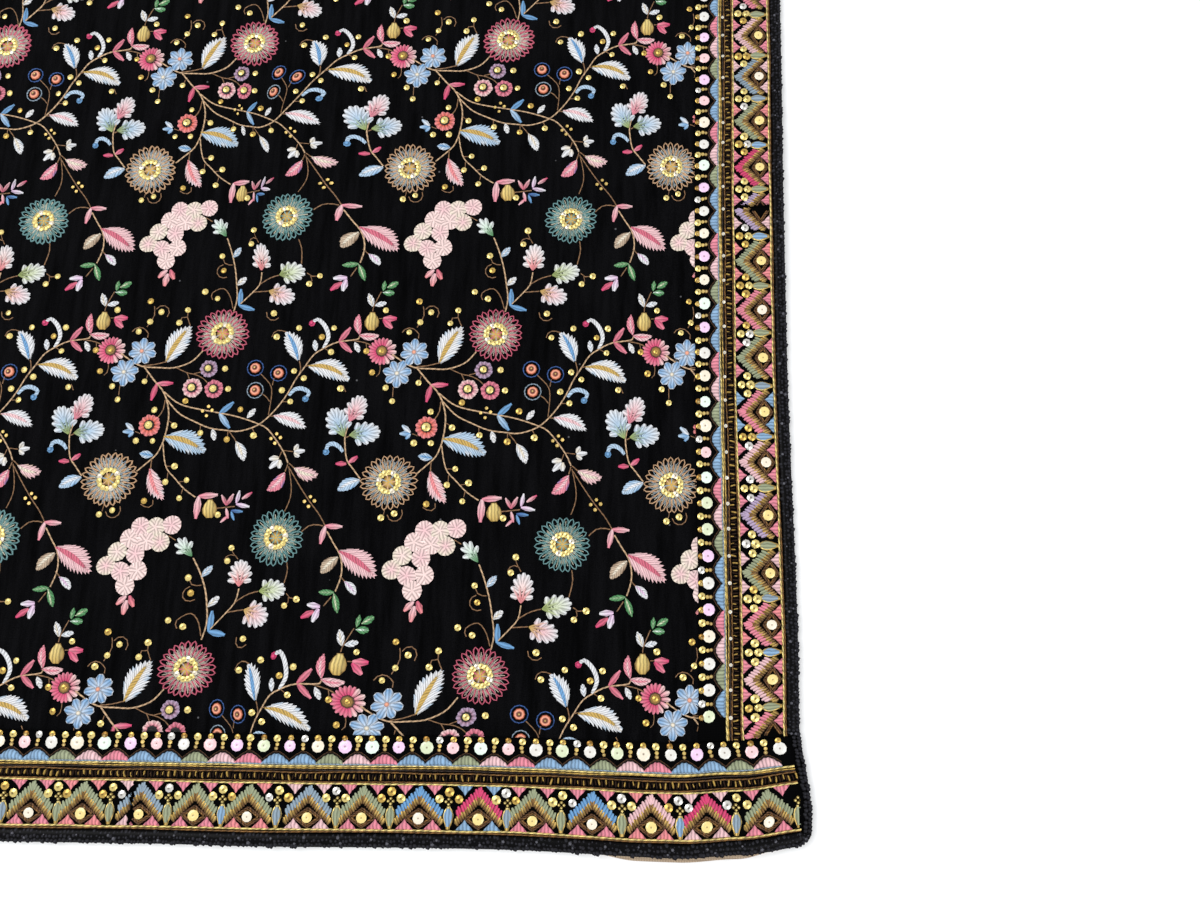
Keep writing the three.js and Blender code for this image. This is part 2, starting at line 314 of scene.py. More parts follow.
# A finished piece from arrays that are already laid down
def finishedPiece(name, arrays, finish, smooth=True):
    mesh = bpy.data.meshes.new(name)
    mesh.vertices.add(len(arrays["points"]))
    mesh.vertices.foreach_set("co", arrays["points"].astype(np.float32).ravel())
    mesh.loops.add(len(arrays["corners"]))
    mesh.loops.foreach_set("vertex_index", arrays["corners"].astype(np.int32))
    mesh.polygons.add(len(arrays["sizes"]))
    starts = np.concatenate([[0], np.cumsum(arrays["sizes"])[:-1]])
    mesh.polygons.foreach_set("loop_start", starts.astype(np.int32))
    mesh.polygons.foreach_set("use_smooth", np.full(len(arrays["sizes"]), smooth))
    mesh.update(calc_edges=True)
    mesh.validate()
    setAttribute(mesh, "threadColour", "FLOAT_COLOR", arrays["colour"])
    setAttribute(mesh, "grain", "FLOAT_VECTOR", arrays["grain"])
    mesh.materials.append(finish)
    piece = newObject(name, mesh)
    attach(piece, "root")
    print(name, int(np.sum(arrays["sizes"] - 2)), "triangles")
    return piece


def laidPiece(name, arrays, base, finish, smooth=True):
    points = arrays["points"].copy()
    points[:, 2] += base
    return finishedPiece(name, {**arrays, "points": layDown(points)}, finish, smooth)


# ---- shader groups and finishes

def addNode(tree, kind, sockets=None, **settings):
    node = tree.nodes.new(kind)
    for key, value in settings.items():
        setattr(node, key, value)
    for key, value in (sockets or {}).items():
        if isinstance(value, bpy.types.NodeSocket):
            tree.links.new(value, node.inputs[key])
        else:
            node.inputs[key].default_value = value
    return node


# One step of arithmetic in a tree, as the socket that holds its result
def calculated(tree, operation, a, b=0.0):
    return addNode(tree, "ShaderNodeMath", {0: a, 1: b}, operation=operation).outputs[0]


# A colour or a vector times a number, as a socket
def scaled(tree, vector, factor):
    node = addNode(tree, "ShaderNodeVectorMath", {0: vector, "Scale": factor}, operation="SCALE")
    return node.outputs["Vector"]


def shaderGroup(name, inputs, outputs):
    group = bpy.data.node_groups.new(name, "ShaderNodeTree")
    for key, (kind, value) in inputs.items():
        socket = group.interface.new_socket(key, in_out="INPUT", socket_type=kind)
        socket.default_value = value
    for key, kind in outputs.items():
        group.interface.new_socket(key, in_out="OUTPUT", socket_type=kind)
    return group, group.nodes.new("NodeGroupInput"), group.nodes.new("NodeGroupOutput")


# Parallel threads counted by the grain attribute: the colour darkens between two threads as painted shade in
# the grooves, and each thread has its own slight tone
def makeThreadGroup():
    inputs = {
        "Colour": ("NodeSocketColor", (0.8, 0.8, 0.8, 1)),
        "Pitch": ("NodeSocketFloat", 0.9),
        "Gap": ("NodeSocketFloat", 0.5),
        "Unevenness": ("NodeSocketFloat", 0.3),
    }
    look = {"waverScale": 420.0, "waver": 0.9, "roundness": 0.6}
    outputs = {"Colour": "NodeSocketColor", "Height": "NodeSocketFloat"}
    group, given, result = shaderGroup("laidThreads", inputs, outputs)
    grain = addNode(group, "ShaderNodeAttribute", attribute_name="grain")
    place = addNode(group, "ShaderNodeTexCoord")
    parts = addNode(group, "ShaderNodeSeparateXYZ", {"Vector": grain.outputs["Vector"]})
    waver = addNode(group, "ShaderNodeTexNoise", {
        "Vector": place.outputs["Object"], "Scale": look["waverScale"], "Detail": 1.0})
    shift = calculated(group, "MULTIPLY", waver.outputs["Fac"], look["waver"])
    moved = calculated(group, "ADD", parts.outputs["X"], shift)
    turns = calculated(group, "DIVIDE", moved, given.outputs["Pitch"])
    height = calculated(group, "POWER", calculated(group, "PINGPONG", turns, 1.0), look["roundness"])
    number = calculated(group, "FLOOR", turns)
    tone = addNode(group, "ShaderNodeTexWhiteNoise", {"W": number}, noise_dimensions="1D")
    centred = calculated(group, "ADD", tone.outputs["Value"], -0.5)
    uneven = calculated(group, "MULTIPLY", centred, given.outputs["Unevenness"])
    grooveShade = calculated(group, "MULTIPLY", calculated(group, "SUBTRACT", 1.0, height), given.outputs["Gap"])
    level = calculated(group, "ADD", calculated(group, "SUBTRACT", 1.0, grooveShade), uneven)
    group.links.new(scaled(group, given.outputs["Colour"], level), result.inputs["Colour"])
    group.links.new(height, result.inputs["Height"])
    return group


# Fine crossed threads of a plain weave, from two waves across the piece; the colour darkens where the threads
# dip, as painted shade between them
def makeWeaveGroup():
    inputs = {
        "Colour": ("NodeSocketColor", (0.1, 0.1, 0.1, 1)),
        "Threads per metre": ("NodeSocketFloat", 1800.0),
        "Contrast": ("NodeSocketFloat", 0.4),
    }
    outputs = {"Colour": "NodeSocketColor", "Height": "NodeSocketFloat"}
    group, given, result = shaderGroup("plainWeave", inputs, outputs)
    place = addNode(group, "ShaderNodeTexCoord")
    parts = addNode(group, "ShaderNodeSeparateXYZ", {"Vector": place.outputs["Object"]})
    waves = []
    for axis in ("X", "Y"):
        turns = calculated(group, "MULTIPLY", parts.outputs[axis], given.outputs["Threads per metre"])
        wave = calculated(group, "SINE", calculated(group, "MULTIPLY", turns, math.pi))
        waves.append(calculated(group, "ABSOLUTE", wave))
    height = calculated(group, "MULTIPLY", *waves)
    dark = calculated(group, "SUBTRACT", 1.0, height)
    level = calculated(group, "SUBTRACT", 1.0, calculated(group, "MULTIPLY", dark, given.outputs["Contrast"]))
    group.links.new(scaled(group, given.outputs["Colour"], level), result.inputs["Colour"])
    group.links.new(height, result.inputs["Height"])
    return group


threadGroup = makeThreadGroup()
weaveGroup = makeWeaveGroup()


# A material whose shader has the given constants on its own sockets
def newFinish(name, constants):
    finish = bpy.data.materials.new(name)
    finish.use_nodes = True
    tree = finish.node_tree
    shader = tree.nodes["Principled BSDF"]
    for key, value in constants.items():
        shader.inputs[key].default_value = value
    return finish, tree, shader


def bumpInto(tree, shader, height, distance, strength):
    raised = addNode(tree, "ShaderNodeBump", {"Height": height, "Distance": distance, "Strength": strength})
    tree.links.new(raised.outputs["Normal"], shader.inputs["Normal"])


# gap is how strongly painted shade darkens the colour in the grooves between threads
def stitchedFinish(name, pitch, gap, unevenness, strength, constants):
    finish, tree, shader = newFinish(name, constants)
    colour = addNode(tree, "ShaderNodeAttribute", attribute_name="threadColour")
    threads = addNode(tree, "ShaderNodeGroup", node_tree=threadGroup)
    threads.inputs["Pitch"].default_value = pitch
    threads.inputs["Gap"].default_value = gap
    threads.inputs["Unevenness"].default_value = unevenness
    tree.links.new(colour.outputs["Color"], threads.inputs["Colour"])
    tree.links.new(threads.outputs["Colour"], shader.inputs["Base Color"])
    bumpInto(tree, shader, threads.outputs["Height"], 0.0003, strength)
    return finish


def tintedFinish(name, mottle, constants):
    finish, tree, shader = newFinish(name, constants)
    colour = addNode(tree, "ShaderNodeAttribute", attribute_name="threadColour")
    place = addNode(tree, "ShaderNodeTexCoord")
    cloud = addNode(tree, "ShaderNodeTexNoise", {
        "Vector": place.outputs["Object"], "Scale": 900.0, "Detail": 2.0})
    level = addNode(tree, "ShaderNodeMapRange", {
        "Value": cloud.outputs["Fac"], "From Min": 0.3, "From Max": 0.7, "To Min": 1 - mottle,
        "To Max": 1 + mottle})
    toned = scaled(tree, colour.outputs["Color"], level.outputs["Result"])
    tree.links.new(toned, shader.inputs["Base Color"])
    bumpInto(tree, shader, cloud.outputs["Fac"], 0.0002, 0.3)
    return finish


def velvetFinish():
    look = {"deep": (0.0009, 0.0009, 0.0011, 1), "light": (0.0042, 0.0042, 0.005, 1), "streak": 240,
            "pile": 2600, "lint": 62.0, "lintEdge": 0.035, "lintCore": 0.02}
    constants = {"Roughness": 1.0, "Specular IOR Level": 0.015, "Sheen Weight": 0.004, "Sheen Roughness": 0.6}
    finish, tree, shader = newFinish("blackVelvet", constants)
    place = addNode(tree, "ShaderNodeTexCoord")
    drawn = addNode(tree, "ShaderNodeMapping", {"Vector": place.outputs["Object"], "Scale": (1, 0.12, 1)})
    streaks = addNode(tree, "ShaderNodeTexNoise", {
        "Vector": drawn.outputs["Vector"], "Scale": look["streak"], "Detail": 3.0, "Roughness": 0.6})
    pile = addNode(tree, "ShaderNodeTexNoise", {
        "Vector": place.outputs["Object"], "Scale": look["pile"], "Detail": 2.0})
    both = calculated(tree, "MULTIPLY", streaks.outputs["Fac"], pile.outputs["Fac"])
    spread = addNode(tree, "ShaderNodeMapRange", {"Value": both, "From Min": 0.15, "From Max": 0.38})
    colour = addNode(tree, "ShaderNodeMix", {
        "Factor": spread.outputs["Result"], 6: look["deep"], 7: look["light"]}, data_type="RGBA")
    specks = addNode(tree, "ShaderNodeTexVoronoi", {"Vector": place.outputs["Object"], "Scale": look["lint"]})
    inSpeck = addNode(tree, "ShaderNodeMapRange", {
        "Value": specks.outputs["Distance"], "From Min": look["lintEdge"], "From Max": look["lintCore"],
        "To Max": 0.5})
    linted = addNode(tree, "ShaderNodeMix", {
        "Factor": inSpeck.outputs["Result"], 6: colour.outputs[2], 7: (*shade("lint"), 1)}, data_type="RGBA")
    tree.links.new(linted.outputs[2], shader.inputs["Base Color"])
    bumpInto(tree, shader, pile.outputs["Fac"], 0.0006, 0.6)
    return finish


# contrast is how strongly painted shade darkens the weave between its threads
def wovenFinish(name, colour, perMetre, gapShade, constants):
    finish, tree, shader = newFinish(name, constants)
    weave = addNode(tree, "ShaderNodeGroup", node_tree=weaveGroup)
    weave.inputs["Colour"].default_value = (*shade(colour), 1)
    weave.inputs["Threads per metre"].default_value = perMetre
    weave.inputs["Contrast"].default_value = gapShade
    tree.links.new(weave.outputs["Colour"], shader.inputs["Base Color"])
    bumpInto(tree, shader, weave.outputs["Height"], 0.0003, 0.5)
    return finish


finishes = {
    "velvet": velvetFinish(),
    "satin": stitchedFinish("satinStitch", 0.8, 0.62, 0.3, 0.6, {
        "Roughness": 0.5, "Specular IOR Level": 0.3, "Sheen Weight": 0.05}),
    "stem": stitchedFinish("twistedStem", 1.3, 0.6, 0.35, 0.7, {"Roughness": 0.5, "Specular IOR Level": 0.4}),
    "loops": stitchedFinish("loopedThread", 0.7, 0.25, 0.3, 0.4, {
        "Roughness": 0.6, "Specular IOR Level": 0.2}),
    "giltStitch": stitchedFinish("giltStitch", 0.7, 0.6, 0.7, 0.8, {"Roughness": 0.36, "Metallic": 0.5}),
    "giltCord": stitchedFinish("giltCord", 1.5, 0.7, 0.5, 0.9, {"Roughness": 0.36, "Metallic": 0.5}),
    "giltSequin": tintedFinish("giltSequin", 0.08, {"Roughness": 0.24, "Metallic": 0.8}),
    "pearlSequin": tintedFinish("pearlSequin", 0.05, {
        "Roughness": 0.22, "Specular IOR Level": 0.7, "Coat Weight": 0.4, "Coat Roughness": 0.1}),
    "blackBead": tintedFinish("blackBead", 0.3, {"Roughness": 0.25, "Specular IOR Level": 0.05}),
    "ribbon": wovenFinish("blackRibbon", "black", 1500, 0.5, {"Roughness": 1.0, "Specular IOR Level": 0.02}),
    "tape": wovenFinish("beigeTape", "beige", 900, 0.35, {"Roughness": 0.95, "Specular IOR Level": 0.2}),
}
print("finishes made")


# ---- node trees that place what repeats

def geometryTree(name, inputs):
    tree = bpy.data.node_groups.new(name, "GeometryNodeTree")
    tree.interface.new_socket("Geometry", in_out="INPUT", socket_type="NodeSocketGeometry")
    for key, kind in inputs.items():
        tree.interface.new_socket(key, in_out="INPUT", socket_type=kind)
    tree.interface.new_socket("Geometry", in_out="OUTPUT", socket_type="NodeSocketGeometry")
    return tree, tree.nodes.new("NodeGroupInput"), tree.nodes.new("NodeGroupOutput")


def namedField(tree, name, kind):
    field = addNode(tree, "GeometryNodeInputNamedAttribute", data_type=kind)
    field.inputs["Name"].default_value = name
    return field.outputs["Attribute"]


# A number for each point, drawn between two sockets
def chanceBetween(tree, seed, low, high):
    drawn = addNode(tree, "FunctionNodeRandomValue", {"Seed": seed, 2: low, 3: high}, data_type="FLOAT")
    return drawn.outputs[1]


# Keeps a field on a geometry under a name
def storedField(tree, geometry, name, kind, value):
    node = addNode(tree, "GeometryNodeStoreNamedAttribute", {
        "Geometry": geometry, "Name": name}, data_type=kind)
    tree.links.new(value, node.inputs["Value"])
    return node.outputs["Geometry"]


# Instances of a unit on points, each turned and sized by the points' own values and a little by
# chance, then made real, with the points' tints mixed into the unit's thread colours
def placeUnits(tree, given, result, points, turn, size):
    unit = addNode(tree, "GeometryNodeObjectInfo", {"Object": given.outputs["Unit"]})
    turnBy, sizeBy, seed = (given.outputs[name] for name in ("Turn by chance", "Size by chance", "Seed"))
    turnChance = chanceBetween(tree, seed, calculated(tree, "MULTIPLY", turnBy, -1.0), turnBy)
    turnExtra = addNode(tree, "ShaderNodeCombineXYZ", {"Z": turnChance})
    turned = addNode(tree, "ShaderNodeVectorMath", {0: turn, 1: turnExtra.outputs[0]}, operation="ADD")
    rotation = addNode(tree, "FunctionNodeEulerToRotation", {"Euler": turned.outputs[0]})
    smallest, largest = (calculated(tree, operation, 1.0, sizeBy) for operation in ("SUBTRACT", "ADD"))
    sizeChance = chanceBetween(tree, calculated(tree, "ADD", seed, 7.0), smallest, largest)
    placed = addNode(tree, "GeometryNodeInstanceOnPoints", {
        "Points": points, "Instance": unit.outputs["Geometry"], "Rotation": rotation.outputs[0],
        "Scale": scaled(tree, size, sizeChance)})
    real = addNode(tree, "GeometryNodeRealizeInstances", {"Geometry": placed.outputs["Instances"]})
    takes = namedField(tree, "tintShares", "FLOAT_VECTOR")
    shares = addNode(tree, "ShaderNodeSeparateXYZ", {"Vector": takes})
    colour = namedField(tree, "threadColour", "FLOAT_COLOR")
    for axis, tint in zip("XYZ", ("tintOne", "tintTwo", "tintThree")):
        mixed = addNode(tree, "ShaderNodeMix", {"Factor": shares.outputs[axis]}, data_type="RGBA")
        tree.links.new(colour, mixed.inputs[6])
        tree.links.new(namedField(tree, tint, "FLOAT_COLOR"), mixed.inputs[7])
        colour = mixed.outputs[2]
    tinted = storedField(tree, real.outputs["Geometry"], "threadColour", "FLOAT_COLOR", colour)
    finished = addNode(tree, "GeometryNodeSetMaterial", {
        "Geometry": tinted, "Material": given.outputs["Finish"]})
    tree.links.new(finished.outputs["Geometry"], result.inputs["Geometry"])


unitInputs = {
    "Unit": "NodeSocketObject",
    "Finish": "NodeSocketMaterial",
    "Turn by chance": "NodeSocketFloat",
    "Size by chance": "NodeSocketFloat",
    "Seed": "NodeSocketInt",
}


def makeScatterTree():
    tree, given, result = geometryTree("placedUnits", unitInputs)
    turn = namedField(tree, "turn", "FLOAT_VECTOR")
    size = namedField(tree, "size", "FLOAT_VECTOR")
    placeUnits(tree, given, result, given.outputs["Geometry"], turn, size)
    return tree


# A straight row at an even pitch, each place moved a little by chance
def makeRowTree():
    rowInputs = {
        "Count": "NodeSocketInt",
        "Start": "NodeSocketVector",
        "Step": "NodeSocketVector",
        "Turn": "NodeSocketVector",
        "Size": "NodeSocketVector",
        "Stray": "NodeSocketFloat",
    }
    tree, given, result = geometryTree("rowOfUnits", {**unitInputs, **rowInputs})
    line = addNode(tree, "GeometryNodeMeshLine", {
        "Count": given.outputs["Count"], "Start Location": given.outputs["Start"],
        "Offset": given.outputs["Step"]})
    low = addNode(tree, "ShaderNodeCombineXYZ")
    high = addNode(tree, "ShaderNodeCombineXYZ")
    less = calculated(tree, "MULTIPLY", given.outputs["Stray"], -1.0)
    for axis in ("X", "Y"):
        tree.links.new(less, low.inputs[axis])
        tree.links.new(given.outputs["Stray"], high.inputs[axis])
    stray = addNode(tree, "FunctionNodeRandomValue", {
        "Seed": given.outputs["Seed"], 0: low.outputs[0], 1: high.outputs[0]}, data_type="FLOAT_VECTOR")
    strayed = addNode(tree, "GeometryNodeSetPosition", {
        "Geometry": line.outputs[0], "Offset": stray.outputs[0]})
    placeUnits(tree, given, result, strayed.outputs[0], given.outputs["Turn"], given.outputs["Size"])
    return tree


# Threads couched along smooth paths: each chain of points becomes a rounded line
def makeThreadTree():
    inputs = {"Section": "NodeSocketObject", "Finish": "NodeSocketMaterial", "Step": "NodeSocketFloat"}
    tree, given, result = geometryTree("couchedThread", inputs)
    path = addNode(tree, "GeometryNodeMeshToCurve", {0: given.outputs["Geometry"]})
    soft = addNode(tree, "GeometryNodeCurveSplineType", {0: path.outputs[0]}, spline_type="CATMULL_ROM")
    even = addNode(tree, "GeometryNodeResampleCurve", {
        "Curve": soft.outputs[0], "Length": given.outputs["Step"]}, mode="LENGTH")
    level = addNode(tree, "GeometryNodeSetCurveNormal", {0: even.outputs[0]}, mode="Z_UP")
    run = addNode(tree, "GeometryNodeSplineParameter")
    counted = addNode(tree, "ShaderNodeCombineXYZ", {"X": run.outputs["Length"]})
    grained = storedField(tree, level.outputs[0], "grain", "FLOAT_VECTOR", counted.outputs[0])
    section = addNode(tree, "GeometryNodeObjectInfo", {"Object": given.outputs["Section"]})
    profile = addNode(tree, "GeometryNodeMeshToCurve", {0: section.outputs["Geometry"]})
    swept = addNode(tree, "GeometryNodeCurveToMesh", {"Curve": grained, "Profile Curve": profile.outputs[0]})
    tree.links.new(namedField(tree, "width", "FLOAT"), swept.inputs["Scale"])
    counts = addNode(tree, "ShaderNodeSeparateXYZ", {"Vector": namedField(tree, "grain", "FLOAT_VECTOR")})
    inMillimetres = calculated(tree, "MULTIPLY", namedField(tree, "lean", "FLOAT"), 1.2)
    leant = calculated(tree, "ADD", counts.outputs["X"], inMillimetres)
    twist = addNode(tree, "ShaderNodeCombineXYZ", {"X": leant})
    twisted = storedField(tree, swept.outputs[0], "grain", "FLOAT_VECTOR", twist.outputs[0])
    real = addNode(tree, "GeometryNodeRealizeInstances", {"Geometry": twisted})
    finished = addNode(tree, "GeometryNodeSetMaterial", {
        "Geometry": real.outputs[0], "Material": given.outputs["Finish"]})
    tree.links.new(finished.outputs[0], result.inputs[0])
    return tree


scatterTree = makeScatterTree()
rowTree = makeRowTree()
threadTree = makeThreadTree()


# Runs a tree on an object and gives back the arrays of what it made
def runTree(host, tree, values):
    modifier = host.modifiers.new(tree.name, "NODES")
    modifier.node_group = tree
    for socket in tree.interface.items_tree:
        if socket.in_out == "INPUT" and socket.name in values:
            modifier[socket.identifier] = values[socket.name]
    view = bpy.context.evaluated_depsgraph_get()
    made = bpy.data.meshes.new_from_object(host.evaluated_get(view), depsgraph=view)
    arrays = arraysOf(made)
    bpy.data.meshes.remove(made)
    bpy.data.objects.remove(host)
    return arrays


# Points that carry each copy's turn, size and tints
def placedOn(places, turns=None, sizes=None, tints=()):
    places = np.asarray(places, float)
    count = len(places)
    mesh = bpy.data.meshes.new("places")
    mesh.from_pydata(places.tolist(), [], [])
    turn = np.zeros((count, 3))
    if turns is not None and np.ndim(turns) > 1:
        turn[:] = turns
    elif turns is not None:
        turn[:, 2] = turns
    size = np.ones((count, 3)) if sizes is None else np.asarray(sizes, float)
    if size.ndim == 1:
        size = np.repeat(size[:, None], 3, 1)
    setAttribute(mesh, "turn", "FLOAT_VECTOR", turn)
    setAttribute(mesh, "size", "FLOAT_VECTOR", size)
    for name, tint in zip(("tintOne", "tintTwo", "tintThree"), tints):
        setAttribute(mesh, name, "FLOAT_COLOR", np.array([shade(colour) for colour in tint]))
    return newObject("places", mesh)


def scatter(unit, places, finish, turns=None, sizes=None, tints=(), turnChance=0.0, sizeChance=0.0, seed=1):
    return runTree(placedOn(places, turns, sizes, tints), scatterTree, {
        "Unit": unit, "Finish": finish, "Turn by chance": turnChance, "Size by chance": sizeChance,
        "Seed": seed})


# ---- the cloth of the shawl

velvet = {"cell": 17}


# A closed thin shell over a grid of flat places: rows run ahead, places within a row from right to left
def shellArrays(flat, top, bottom):
    n, m = flat.shape[:2]
    heights = [np.broadcast_to(np.asarray(side, float), (n, m))[..., None] for side in (top, bottom)]
    points = np.concatenate([np.concatenate([flat, height], 2).reshape(-1, 3) for height in heights])
    index = np.arange(n * m).reshape(n, m)
    a, b, c, d = index[:-1, :-1], index[:-1, 1:], index[1:, 1:], index[1:, :-1]
    faces = [np.stack([a, d, c, b], -1).reshape(-1, 4), np.stack([a, b, c, d], -1).reshape(-1, 4) + n * m]
    rim = np.concatenate([index[0, :], index[1:, -1], index[-1, -2::-1], index[-2:0:-1, 0]])
    after = np.roll(rim, -1)
    faces.append(np.stack([rim, after, after + n * m, rim + n * m], -1))
    faces = np.concatenate(faces)
    grain = np.zeros((len(points), 3))
    grain[:, :2] = points[:, :2]
    return {
        "points": points,
        "corners": faces.ravel(),
        "sizes": np.full(len(faces), 4),
        "colour": np.ones((len(points), 4)) * 0.5,
        "grain": grain,
    }


def makeVelvet():
    xs = np.linspace(halfWidth, -halfWidth, int(shawl["width"] / velvet["cell"]) + 1)
    ys = np.linspace(-halfLength, halfLength, int(shawl["length"] / velvet["cell"]) + 1)
    flat = np.stack(np.meshgrid(xs, ys), -1)
    arrays = shellArrays(flat, shawl["thickness"], 0)
    return laidPiece("velvet_cloth", arrays, 0, finishes["velvet"])


velvetCloth = makeVelvet()
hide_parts("velvet_panel")
print("velvet laid")


# ---- stitched shapes, each one on its own small mesh of rows

def blend(a, b, t):
    t = np.asarray(t, float)[..., None]
    return shade(a) * (1 - t) + shade(b) * t


def heading(turn):
    return np.array([math.cos(math.radians(turn)), math.sin(math.radians(turn))])


# Length, direction and left-hand direction from one place to another
def runOf(base, tip):
    run = np.array(tip, float) - np.array(base, float)
    length = np.hypot(*run)
    ahead = run / length
    return length, ahead, np.array([-ahead[1], ahead[0]])


# A padded leaf with a toothed edge, its stitches slanting out from a rib of its own colour
def addLeaf(work, base, tip, width, body, rib, edge=None, bend=0.0, teeth=0.1, height=1.0):
    length, ahead, left = runOf(base, tip)
    count = int(np.clip(round(length * work.fine / 0.95) + 1, 5, 27 * work.fine))
    t = np.linspace(0, 1, count)
    half = width / 2 * np.clip(np.sin(np.pi * t ** 0.85), 0.06, 1) ** 0.72
    tooth = np.where(np.arange(count) % 2, 1, -1) * teeth * (1.5 if work.isFine else 1)
    shares = np.array([-1, -0.5, 0, 0.5, 1] if work.isFine else [-1, 0, 1])
    rise = np.array([-0.2, 1, 0.5, 1, -0.2] if work.isFine else [-0.2, 1, -0.2]) * height
    bow = bend * length * 4 * t * (1 - t)
    middle = np.array(base) + ahead * (length * t)[:, None] + left * bow[:, None]
    isRim = np.abs(shares) == 1
    reach = half[:, None] * shares * np.where(isRim, 1 + tooth[:, None], 1)
    slant = np.abs(reach) * 0.3 + np.where(isRim, tooth[:, None] * 4, 0)
    rows = np.zeros((count, len(shares), 3))
    rows[..., :2] = middle[:, None] + left * reach[..., None]
    rows[..., :2] += ahead * slant[..., None]
    rows[..., 2] = rise * np.clip(2.4 * half / width, 0.35, 1)[:, None]
    rims = np.where((np.arange(count) // 3 % 3 == 1)[:, None], shade(edge or body), shade(body))
    plain = np.broadcast_to(shade(body), (count, 3))
    ribbed = blend(body, rib, np.full(count, 0.35 if work.isFine else 0.8))
    colours = np.stack([rims, plain, ribbed, plain, rims] if work.isFine else [rims, ribbed, rims], 1)
    counted = length * t[:, None] - np.abs(shares) * half[:, None] * 1.1
    grain = np.stack([counted, shares * half[:, None]], -1)
    work.grid(rows, colours, grain)
    if work.isFine and width > 3.3:
        inside = slice(0, max(3, int(count * 0.9)), 2)
        spine = np.clip(np.sin(np.pi * t[inside] ** 0.8), 0.3, 1)
        addThread(work, middle[inside], width * 0.22, 0.4, rib, lift=0.84 * height, ends=spine)


# A petal: narrow at its foot, round at its end, stitched along its length. With a rim colour it has
# an outline round a darker middle.
def addPetal(work, foot, end, width, inner, outer, height=0.9, full=1.5, count=5, share=None, lift=0.0,
             rim=None):
    length, ahead, left = runOf(foot, end)
    count = count if work.isFine else max(3, count - 2)
    t = (1 - np.cos(np.pi * np.linspace(0, 1, count))) / 2
    half = width / 2 * np.clip(np.sin(np.pi * t ** full), 0.2, 1) ** 0.62
    shares = np.array([-1, 0, 1]) if rim is None else np.array([-1, -0.6, 0.6, 1])
    rise = np.array([-0.2, 1, -0.2]) if rim is None else np.array([-0.1, 1, 1, -0.1])
    rows = np.zeros((count, len(shares), 3))
    spine = np.array(foot) + ahead * (length * t)[:, None]
    rows[..., :2] = spine[:, None] + left * (half[:, None] * shares)[..., None]
    rows[..., 2] = rise * height * np.clip(2.2 * half / width, 0.4, 1)[:, None] + lift
    along = np.broadcast_to(t[:, None], (count, len(shares)))
    colours = blend(inner, outer, along ** (1.3 if rim is None else 0.7))
    if rim is not None:
        colours[1:, [0, -1]] = shade(rim)
        colours[-1] = shade(rim)
    grain = np.stack([half[:, None] * shares, length * along], -1)
    work.grid(rows, colours, grain, share)


# Petals round a centre over a sweep of directions
def addFlower(work, centre, across, petals, inner, outer, rim=None, sweep=(0, 360), fat=1.0, hub=0.16,
              lift=0.0):
    centre = np.array(centre, float)
    step = (sweep[1] - sweep[0]) / petals
    width = fat * across * 0.4 * math.tan(math.radians(step / 2)) * 2
    for i in range(petals):
        away = heading(sweep[0] + step * (i + 0.5))
        far = across * (0.5 + 0.015 * math.sin(2.9 * i + centre[0]))
        addPetal(work, centre + away * across * hub, centre + away * far, width, inner, outer, rim=rim,
                 lift=lift, height=0.9 - 1.2 * lift, count=6 if rim and work.isFine else 4,
                 full=1.6 if rim else 1.35)


# A rounded line that follows points
def addThread(work, path, width, height, colour, lift=0.0, closed=False, share=None, ends=None):
    path = np.asarray(path, float)
    if closed:
        around = np.vstack([path[-1:], path, path[:1]])
    else:
        around = np.vstack([2 * path[0] - path[1], path, 2 * path[-1] - path[-2]])
    run = around[2:] - around[:-2]
    run /= np.maximum(np.hypot(run[:, 0], run[:, 1]), 1e-9)[:, None]
    left = np.stack([-run[:, 1], run[:, 0]], 1)
    half = np.full(len(path), width / 2) if ends is None else width / 2 * np.asarray(ends, float)
    shares = np.array([-1, 0, 1])
    rows = np.zeros((len(path), 3, 3))
    rows[..., :2] = path[:, None] + left[:, None] * (half[:, None] * shares)[..., None]
    rows[..., 2] = np.array([-0.2, 1, -0.2]) * height + lift
    step = np.hypot(*np.diff(path, axis=0).T)
    along = np.concatenate([[0], np.cumsum(step)])
    grain = np.stack([along[:, None] + half[:, None] * shares, half[:, None] * shares], -1)
    work.grid(rows, shade(colour), grain, share, closed)


def softPath(points, step=1.6):
    points = np.asarray(points, float)
    ends = np.vstack([2 * points[0] - points[1], points, 2 * points[-1] - points[-2]])
    made = []
    for i in range(len(points) - 1):
        p0, p1, p2, p3 = ends[i:i + 4]
        count = max(1, int(round(np.hypot(*(p2 - p1)) / step)))
        for t in np.arange(count) / count:
            made.append(0.5 * (2 * p1 + (p2 - p0) * t + (2 * p0 - 5 * p1 + 4 * p2 - p3) * t ** 2
                               + (3 * p1 - p0 - 3 * p2 + p3) * t ** 3))
    return np.vstack(made + [points[-1]])


def addRing(work, centre, radius, width, height, colour, sides=12):
    angle = np.arange(sides) * 2 * np.pi / sides
    path = np.stack([centre[0] + radius * np.cos(angle), centre[1] + radius * np.sin(angle)], 1)
    addThread(work, path, width, height, colour, closed=True)


# A daisy one millimetre in reach: pointed loops of its first tint, loops of its second tint inside
# and between them, and fine spokes of its third tint
zinnia = {"width": 0.1, "thread": 0.046, "sequinRing": 0.35, "sequins": 14, "sequin": 2.75}


